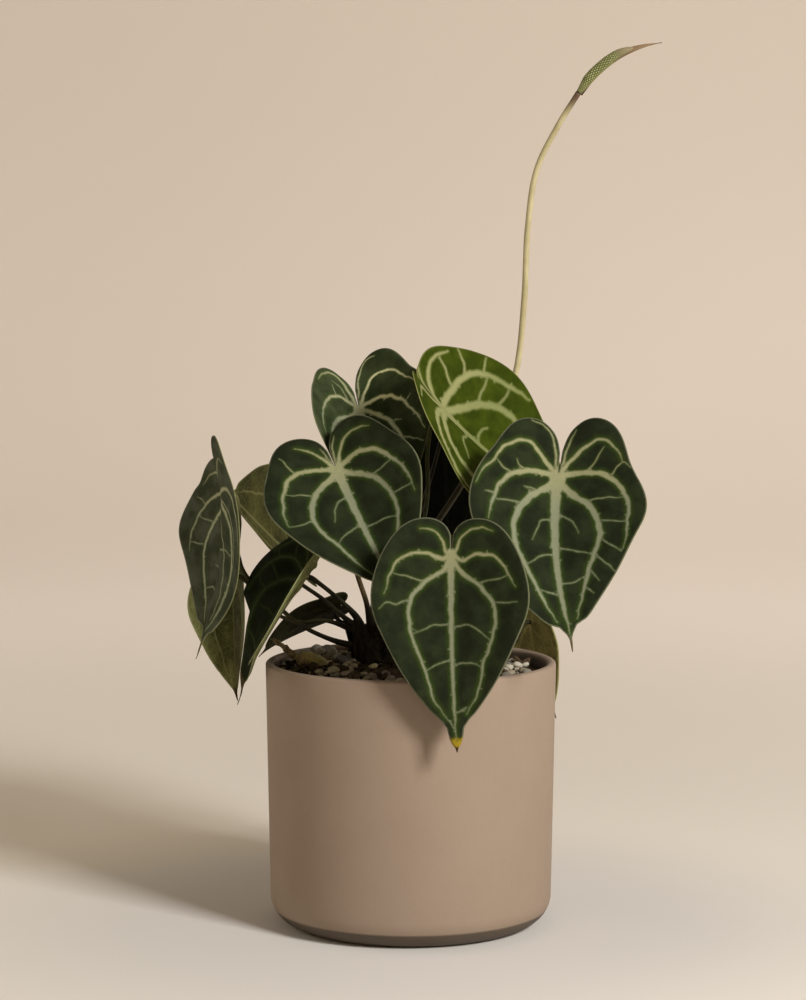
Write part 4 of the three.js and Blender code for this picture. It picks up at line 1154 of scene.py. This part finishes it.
# A tapered finger covered in domes that run round it in two crossing spirals
def makeSpadix():
    line, shares = lineThrough(flower["route"], 0.2)
    sides = flower["sides"]
    way = unit(np.gradient(line, axis=0))
    points, florets, share = [], [], []
    for place, ahead, t in zip(line, way, shares):
        side = np.array([0.0, 1.0, 0.0])
        other = unit(np.cross(side, ahead))
        taper = min(1, 0.5 + 2.2 * t, math.sqrt(max(0, 1 - t ** 3)) + 0.1)
        for k in range(sides):
            turn = 2 * math.pi * k / sides
            spiral = flower["around"] * turn
            rise = flower["rows"] * math.pi * t
            dome = abs(math.cos((spiral + rise) / 2) * math.cos((spiral - rise) / 2))
            radius = (flower["radius"] - 0.1) * taper + flower["relief"] * (dome - 0.5) * min(1, taper)
            points.append(place + (other * math.cos(turn) + side * math.sin(turn)) * radius)
            florets.append(dome)
            share.append(t)
    points += [line[0], line[-1] + way[-1] * 0.4]
    values = {"floret": florets + [0, 0.5], "stemShare": share + [0, 1]}
    makePiece("spadix_florets", points, ringFaces(len(line), sides), [spadixMaterial()], ["spadix"],
              values=values)


def spatheMaterial():
    material, tree, shader = newMaterial("spatheSkin", Roughness=0.55, Specular_IOR_Level=0.3)
    share = attribute(tree, "stemShare").outputs["Fac"]
    streaks = noiseAt(tree, attribute(tree, "stemPlace").outputs["Vector"], 1.4, 3.0, 0.6)
    base = blend(tree, ramp(tree, share, 0.0, 0.2), colour(spathe["foot"]), colour(spathe["tone"]))
    base = blend(tree, ramp(tree, streaks, 0.45, 0.7, 0.0, 0.6), base, colour(spathe["streak"]))
    base = blend(tree, ramp(tree, share, 0.85, 1.0), base, colour(spathe["tip"]))
    return finishMaterial(material, tree, shader, base, streaks, 0.4, 0.0002)


# Faces of a sheet with two sides, each of rows and columns of quads, joined round its rim
def sheetFaces(rows, columns, first=0):
    stride = columns + 1
    count = (rows + 1) * stride
    faces = []
    for i in range(rows):
        for k in range(columns):
            a = first + i * stride + k
            faces += [(a, a + 1, a + stride + 1, a + stride),
                      (a + count, a + count + stride, a + count + stride + 1, a + count + 1)]
        left, right = first + i * stride, first + i * stride + columns
        faces.append((left, left + stride, left + stride + count, left + count))
        faces.append((right, right + count, right + stride + count, right + stride))
    for k in range(columns):
        low, high = first + k, first + rows * stride + k
        faces.append((low, low + count, low + 1 + count, low + 1))
        faces.append((high, high + 1, high + 1 + count, high + count))
    return faces


# A narrow pointed bract, cupped round the underside of the spadix
def makeSpathe():
    line, shares = lineThrough(spathe["route"], 0.5)
    way = unit(np.gradient(line, axis=0))
    columns = spathe["columns"]
    points, place, share = [], [], []
    for face in (1, -1):
        for centre, ahead, t in zip(line, way, shares):
            side = unit(np.cross(ahead, [0.0, 1.0, 0.0]))
            up = unit(np.cross(side, ahead)) * -1
            half = spathe["width"] / 2 * max(0.09, math.sin(math.pi * min(1, 0.28 + 0.74 * t)) ** 0.9)
            for k in range(columns + 1):
                edge = 2 * k / columns - 1
                cup = 0.55 * half * edge * edge
                thin = spathe["thickness"] / 2 * (0.35 + 0.65 * math.sqrt(1 - edge * edge * 0.96))
                thin *= 1 - 0.5 * t
                points.append(centre - side * edge * half + up * (cup + face * thin))
                place.append((edge * 3, t * 3, 5))
                share.append(t)
    makePiece("spathe_bract", points, sheetFaces(len(line) - 1, columns), [spatheMaterial()],
              ["spathe"], values={"stemPlace": place, "stemShare": share})


makeSpadix()
makeSpathe()
print("flower made")


# Dried sheaths as degrees round the crown, foot height, length, width, how far they lean out, and twist
sheaths = [
    (215, 124, 30, 9, 0.55, 0.5), (262, 122, 26, 9, 0.3, -0.3), (300, 124, 28, 8, 0.42, 0.4),
    (340, 123, 24, 9, 0.4, -0.4), (30, 124, 26, 8, 0.45, 0.3), (80, 124, 28, 9, 0.35, -0.4),
    (125, 124, 27, 8, 0.5, 0.4), (170, 123, 26, 9, 0.6, -0.5),
]
sheathTones = ("#33291b", "#120e09")


def barkMaterial(name, light, dark, scale):
    material, tree, shader = newMaterial(name, Roughness=0.85, Specular_IOR_Level=0.2)
    stretched = addNode(tree, "Mapping", {"Vector": meshPlace(tree), "Scale": (1.0, 1.0, 0.35)}).outputs[0]
    grain = noiseAt(tree, stretched, scale, 4.0, 0.65)
    base = blend(tree, ramp(tree, grain, 0.35, 0.7), colour(dark), colour(light))
    return finishMaterial(material, tree, shader, base, grain, 0.8, 0.0006)


# The short stem, lumpy and ringed with leaf scars
def makeCrown():
    x, y, r, foot, top = (crown[key] for key in ("x", "y", "radius", "foot", "top"))
    shoulder = top - 7
    profile = [(r * 0.8, foot), (r, foot + 12), (r * 1.08, shoulder - 8), (r * 0.96, shoulder),
               (r * 0.62, top - 2), (r * 0.2, top)]
    line, _ = lineThrough(profile, 0.7)
    turns = 72
    points = np.vstack([turnedPoints(line, turns, (x, y)), [[x, y, foot], [x, y, top]]])
    for p in points:
        outward = unit(np.array([p[0] - x, p[1] - y, 0.0]))
        lump = noise.noise(Vector(p) * 0.16) * 1.5 + noise.noise(Vector(p) * 0.7) * 0.6
        scar = 0.45 * math.sin(p[2] * 1.7 + 2 * noise.noise(Vector(p) * 0.1))
        p += outward * (lump + scar - 0.6)
    bark = barkMaterial("crownBark", crown["light"], crown["dark"], 300.0)
    makePiece("crown_stem", points, ringFaces(len(line), turns), [bark], ["rhizome"])


# Dried papery sheaths that stand round the crown
def makeSheaths():
    rows, columns = 22, 8
    points, faces = [], []
    for turn, foot, length, width, lean, twist in sheaths:
        base = math.radians(turn)
        faces += sheetFaces(rows, columns, len(points))
        for face in (1, -1):
            for i in range(rows + 1):
                t = i / rows
                radius = crown["radius"] + 0.9 + lean * length * t * t * 0.6
                half = width / 2 * (1 - t) ** 0.7 + 0.25
                for k in range(columns + 1):
                    edge = 2 * k / columns - 1
                    angle = base + twist * t + edge * half / (crown["radius"] + 2)
                    ragged = noise.noise(Vector((turn, t * 6, edge * 3)))
                    out = radius + face * 0.22 + 0.5 * ragged - 0.7 * edge * edge * t
                    x, y = crown["x"] + out * math.cos(angle), crown["y"] + out * math.sin(angle)
                    points.append((x, y, foot + length * t * (1 - 0.25 * lean * t) + ragged * 0.8))
    makePiece("dried_sheaths", points, faces, [barkMaterial("sheathPaper", *sheathTones, 500.0)])


makeCrown()
makeSheaths()
print("crown made")


# The mix rises in a mound round the crown. "stones", "chips" and "grit" are counts.
mix = {
    "edgeHeight": 121, "mound": 6.5, "spread": 46, "radius": 65.4, "floor": 5.6,
    "stones": 230, "chips": 130, "grit": 300, "tries": 9000,
    "soilDark": "#2a2115", "soilLight": "#4d3d29", "barkLight": "#5a4831", "barkDark": "#2b2115",
    "stoneStain": "#5a4e3c", "stoneSpeck": "#d8cfbd",
}
stoneTones = [
    "#6f6a60", "#57544e", "#8a8274", "#9c8f79", "#b3a68f", "#c9bfa9", "#4c4740", "#7b6a52", "#a09a8c",
]

# Stones that the photo shows, as x, y, lift above the mound, half sizes, turn and tone. The stones at the left
# have tones lightened as painted light, against the leaves' shadow on them.
photoStones = [
    (-47, 37, 2.2, (5.0, 4.0, 3.0), 10, "#8e8a80"), (-41, 33, 2.2, (4.4, 3.8, 3.0), -30, "#8e8a80"),
    (-50.5, 31, 3.4, (3.8, 2.4, 1.8), 0, "#aaa391"), (-46.5, 36, 4.9, (3.2, 2.5, 2.2), 20, "#b9b3a3"),
    (-40, 35, 4.6, (3.6, 2.5, 1.9), -10, "#aaa391"), (-44.5, 25, 3.6, (3.0, 2.6, 2.3), 35, "#cfc8b5"),
    (-38.8, 17, 3.0, (3.2, 2.7, 2.4), -25, "#cfc8b2"), (-35.6, 2, 2.0, (2.4, 2.2, 2.0), 50, "#b9b5a6"),
    (-49.5, 22, 2.6, (3.2, 2.4, 1.5), -12, "#d2c4a2"), (-38.7, -11, 1.6, (2.3, 1.9, 1.7), 0, "#cbbd9d"),
    (-37, -31, 2.6, (3.6, 2.4, 1.9), 5, "#bdb29a"), (-43.5, -29, 2.0, (2.6, 1.8, 1.4), -20, "#b5aa92"),
    (-30.5, -37, 2.0, (2.8, 2.2, 1.6), 15, "#a8968a"), (-22.6, -38, 1.8, (2.8, 1.9, 1.4), 60, "#a8a08c"),
    (-11.8, -36, 1.8, (2.4, 1.7, 1.5), -35, "#928d84"), (-18, -22, 1.6, (2.4, 1.6, 1.4), 25, "#9f8f6b"),
    (47.5, 2, 2.0, (2.4, 1.9, 1.5), 0, "#c4baa4"), (52, 10, 2.2, (2.6, 2.0, 1.6), 30, "#cdc4b0"),
    (55.5, 12, 2.0, (2.2, 1.8, 1.4), -20, "#bfb6a2"), (45, -8, 1.8, (2.2, 1.8, 1.4), 10, "#b8ad97"),
    (49.5, 20, 2.2, (2.0, 1.6, 1.3), 50, "#a39c8c"),
]


def moundAt(x, y):
    away = math.hypot(x - crown["x"], y - crown["y"])
    return mix["edgeHeight"] + mix["mound"] * math.exp(-((away / mix["spread"]) ** 2))


def soilMaterial():
    material, tree, shader = newMaterial("soil", Roughness=0.95, Specular_IOR_Level=0.1)
    grain = noiseAt(tree, meshPlace(tree), 420.0, 5.0, 0.7)
    base = blend(tree, ramp(tree, grain, 0.35, 0.75), colour(mix["soilDark"]), colour(mix["soilLight"]))
    return finishMaterial(material, tree, shader, base, grain, 1.0, 0.001)


# Rough soil from the pot's floor up to its mound
def makeSoil():
    turns, rings = 120, 44
    inner = mix["radius"]
    profile = [(20, mix["floor"]), (inner - 14.5, mix["floor"]), (inner - 2.5, 19), (inner - 0.2, 118)]
    points = [tuple(p) for p in turnedPoints(profile, turns)]
    for j in range(rings, 0, -1):
        radius = inner * j / rings
        for k in range(turns):
            angle = 2 * math.pi * k / turns
            x, y = radius * math.cos(angle), radius * math.sin(angle)
            lumps, crumbs = Vector((x * 0.28, y * 0.28, 3)), Vector((x * 0.9, y * 0.9, 7))
            rough = noise.noise(lumps) * 1.3 + noise.noise(crumbs) * 0.7
            points.append((x, y, moundAt(x, y) - 0.9 + rough * (0.4 if j == rings else 1)))
    points += [(0, 0, mix["floor"]), (0, 0, moundAt(0, 0) - 0.9)]
    faces = ringFaces(len(profile) + rings, turns)
    makePiece("soil", points, faces, [soilMaterial()], ["potting_mix"])


# Points and faces of an even ball with 20 faces split again and again
def ballMesh(splits):
    golden = (1 + 5 ** 0.5) / 2
    points = [(-1, golden, 0), (1, golden, 0), (-1, -golden, 0), (1, -golden, 0),
              (0, -1, golden), (0, 1, golden), (0, -1, -golden), (0, 1, -golden),
              (golden, 0, -1), (golden, 0, 1), (-golden, 0, -1), (-golden, 0, 1)]
    points = [tuple(unit(np.array(p, float))) for p in points]
    faces = [(0, 11, 5), (0, 5, 1), (0, 1, 7), (0, 7, 10), (0, 10, 11), (1, 5, 9), (5, 11, 4), (11, 10, 2),
             (10, 7, 6), (7, 1, 8), (3, 9, 4), (3, 4, 2), (3, 2, 6), (3, 6, 8), (3, 8, 9), (4, 9, 5),
             (2, 4, 11), (6, 2, 10), (8, 6, 7), (9, 8, 1)]
    for _ in range(splits):
        middles, finer = {}, []

        def middle(a, b):
            key = (min(a, b), max(a, b))
            if key not in middles:
                middles[key] = len(points)
                points.append(tuple(unit((np.array(points[a]) + np.array(points[b])) / 2)))
            return middles[key]

        for a, b, c in faces:
            ab, bc, ca = middle(a, b), middle(b, c), middle(c, a)
            finer += [(a, ab, ca), (b, bc, ab), (c, ca, bc), (ab, bc, ca)]
        faces = finer
    return np.array(points), np.array(faces)


ballPoints, ballFaces = ballMesh(2)
smallPoints, smallFaces = ballMesh(1)


# One stone: a ball with flat places broken off it, stretched and turned
def stonePoints(ball, centre, halfSizes, turn, draw, cuts=9, tilt=0.25):
    points = ball.copy()
    for _ in range(cuts):
        way = unit(draw.normal(size=3))
        depth = draw.uniform(0.66, 0.9)
        over = np.maximum(points @ way - depth, 0)
        points -= over[:, None] * way
    points = points / np.abs(points).max(axis=0) * np.array(halfSizes)
    turn = math.radians(turn)
    c, s = math.cos(turn), math.sin(turn)
    points = points @ np.array([[c, s, 0], [-s, c, 0], [0, 0, 1]])
    lean, aside = draw.uniform(-tilt, tilt, 2)
    points[:, 2] += points[:, 0] * lean + points[:, 1] * aside
    return points + np.array(centre)


def gravelMaterial():
    material, tree, shader = newMaterial("gravel", Roughness=0.8, Specular_IOR_Level=0.3)
    tint = attribute(tree, "stoneTint").outputs["Color"]
    where = meshPlace(tree)
    cloud = noiseAt(tree, where, 380.0, 4.0, 0.65)
    speck = noiseAt(tree, where, 1600.0, 2.0, 0.6)
    base = blend(tree, ramp(tree, cloud, 0.35, 0.75, 0.0, 0.45), tint, colour(mix["stoneStain"]))
    base = blend(tree, ramp(tree, speck, 0.58, 0.72, 0.0, 0.3), base, colour(mix["stoneSpeck"]))
    return finishMaterial(material, tree, shader, base, cloud, 0.6, 0.0003)


# The photo's stones one by one, then stones and grit by a seeded rule where there is room
def makeGravel():
    draw = np.random.default_rng(7)
    points, faces, tints = [], [], []
    placed = []

    def lay(ball, ballSides, centre, halfSizes, turn, tone, cuts=9):
        first = sum(len(p) for p in points)
        points.append(stonePoints(ball, centre, halfSizes, turn, draw, cuts))
        faces.append(ballSides + first)
        tints.append(np.tile(colour(tone)[:3], (len(ball), 1)))
        placed.append((centre[0], centre[1], max(halfSizes[:2])))

    # Clear of the crown, the wall, the yellow stone, other stones, the far right and the bare soil before
    # the crown. Only grit lies at the left.
    def free(x, y, size, slack):
        if math.hypot(x - crown["x"], y - crown["y"]) < crown["radius"] + size + 0.5:
            return False
        if math.hypot(x, y) > mix["radius"] - size - 0.6:
            return False
        if abs(x + 45) < size + 7.5 and -11 < y < 2 + size or x > 52 and y > -6:
            return False
        if size > 1.6 and (x < -44 and -40 < y < 16 or abs(x + 45) < 9 and y < -4):
            return False
        if x < 0 and y < 0 and math.hypot(x - crown["x"] - 6, y + 24) < 15 + size:
            return False
        return all(math.hypot(x - px, y - py) > (size + other) * slack for px, py, other in placed)

    for x, y, lift, halfSizes, turn, tone in photoStones:
        lay(ballPoints, ballFaces, (x, y, moundAt(x, y) + lift - 0.6), halfSizes, turn, tone)
    kinds = (  # ball, its faces, how many, smallest and largest half size, and spacing
        (ballPoints, ballFaces, mix["stones"], 2.2, 4.2, 0.84),
        (smallPoints, smallFaces, mix["grit"], 0.8, 1.5, 0.5),
    )
    for ball, sides, wanted, low, high, slack in kinds:
        laid = tries = 0
        while laid < wanted and tries < mix["tries"]:
            tries += 1
            angle, radius = draw.uniform(0, 2 * math.pi), mix["radius"] * math.sqrt(draw.uniform(0, 1))
            x, y = radius * math.cos(angle), radius * math.sin(angle)
            size = draw.uniform(low, high)
            if not free(x, y, size, slack):
                continue
            halfSizes = (size, size * draw.uniform(0.68, 0.95), size * draw.uniform(0.55, 0.8))
            tone = stoneTones[int(draw.integers(len(stoneTones)))]
            lay(ball, sides, (x, y, moundAt(x, y) + size * 0.25), halfSizes, draw.uniform(0, 180), tone)
            laid += 1
    makePiece("gravel", np.vstack(points), np.vstack(faces), [gravelMaterial()],
              values={"stoneTint": np.vstack(tints)})
    print("gravel", len(placed), "stones")


# Pieces of dark bark between the stones
def makeBark():
    draw = np.random.default_rng(19)
    points, faces = [], []
    for _ in range(mix["chips"]):
        angle, radius = draw.uniform(0, 2 * math.pi), mix["radius"] * math.sqrt(draw.uniform(0.03, 0.9))
        x, y = radius * math.cos(angle), radius * math.sin(angle)
        size = draw.uniform(2.2, 5.0)
        if math.hypot(x, y) > mix["radius"] - size - 0.6 or math.hypot(x + 45, y + 2) < size + 6:
            continue
        centre = (x, y, moundAt(x, y) + draw.uniform(0.4, 2.2))
        halfSizes = (size, size * draw.uniform(0.35, 0.6), size * draw.uniform(0.2, 0.35))
        faces.append(ballFaces + sum(len(p) for p in points))
        points.append(stonePoints(ballPoints, centre, halfSizes, draw.uniform(0, 180), draw, 12, 0.6))
    bark = barkMaterial("barkChip", mix["barkLight"], mix["barkDark"], 380.0)
    makePiece("bark_chips", np.vstack(points), np.vstack(faces), [bark])


makeSoil()
makeGravel()
makeBark()
print("potting mix made")


# The yellow stone and the dead root that lie on the mix, and the root's rootlets as their share of the
# way along it, direction and length
yellowStone = {
    "at": (-46.5, -3, 127.6), "halfSizes": (7.6, 3.7, 3.1), "tilt": 19,
    "dull": "#ab9f70", "pale": "#c4b472", "bright": "#bfae3c", "dark": "#4d4630",
}
deadRoot = {
    "route": [[-48, -9, 122], [-53, -5, 127.5], [-60, 2, 132], [-67, 9, 136]],
    "width": 3.3, "sides": 16, "light": "#bca67e", "dark": "#6b5a3e", "rootletWidth": 0.9, "rootletSides": 8,
    "rootlets": [
        (0.55, (-0.4, -0.9, -0.2), 3.2), (0.8, (0.5, -0.6, -0.7), 3.6), (0.93, (-0.8, -0.2, 0.6), 3),
    ],
}


def yellowMaterial():
    material, tree, shader = newMaterial("yellowStone", Roughness=0.8, Specular_IOR_Level=0.25)
    where = meshPlace(tree)
    cloud = noiseAt(tree, where, 260.0, 4.0, 0.6)
    speck = noiseAt(tree, where, 900.0, 3.0, 0.7)
    base = blend(tree, ramp(tree, cloud, 0.35, 0.7), colour(yellowStone["dull"]), colour(yellowStone["pale"]))
    base = blend(tree, ramp(tree, speck, 0.55, 0.7, 0.0, 0.8), base, colour(yellowStone["bright"]))
    base = blend(tree, ramp(tree, speck, 0.42, 0.3, 0.0, 0.6), base, colour(yellowStone["dark"]))
    return finishMaterial(material, tree, shader, base, speck, 0.7, 0.0004)


def makeYellowStone():
    draw = np.random.default_rng(3)
    ball, sides = ballMesh(4)
    points = stonePoints(ball, (0, 0, 0), yellowStone["halfSizes"], 0, draw, 14, 0.0)
    points *= 1 + np.array([noise.noise(Vector(p) * 0.6) for p in points])[:, None] * 0.07
    tilt = math.radians(yellowStone["tilt"])
    c, s = math.cos(tilt), math.sin(tilt)
    points = points @ np.array([[c, 0, -s], [0, 1, 0], [s, 0, c]]) + np.array(yellowStone["at"])
    makePiece("yellow_pebble", points, sides, [yellowMaterial()], ["yellow_stone"])


# A knotty stub that thins towards its end, with three rootlets
def makeDeadRoot():
    sides, small = deadRoot["sides"], deadRoot["rootletSides"]
    line, shares = lineThrough(deadRoot["route"], 0.4)
    knots = 0.16 * np.sin(shares * 31) + 0.1 * np.sin(shares * 67 + 1)
    radii = deadRoot["width"] / 2 * (1.25 - 0.65 * shares + knots)
    points = tubePoints(line, radii, sides, ripple=0.5, seed=4)
    faces = ringFaces(len(line), sides)
    for t, way, length in deadRoot["rootlets"]:
        start, reach = line[int(t * (len(line) - 1))], np.array(way) * length
        twig, along = lineThrough([start, start + reach * 0.5, start + reach + [0, 0, -0.6]], 0.5)
        faces += [tuple(np.array(f) + len(points)) for f in ringFaces(len(twig), small)]
        radii = deadRoot["rootletWidth"] / 2 * (1.1 - 0.7 * along)
        points = np.vstack([points, tubePoints(twig, radii, small, 0.3)])
    bark = barkMaterial("oldRoot", deadRoot["light"], deadRoot["dark"], 700.0)
    makePiece("old_root", points, faces, [bark], ["dead_root"])


makeYellowStone()
makeDeadRoot()
print("loose pieces made")
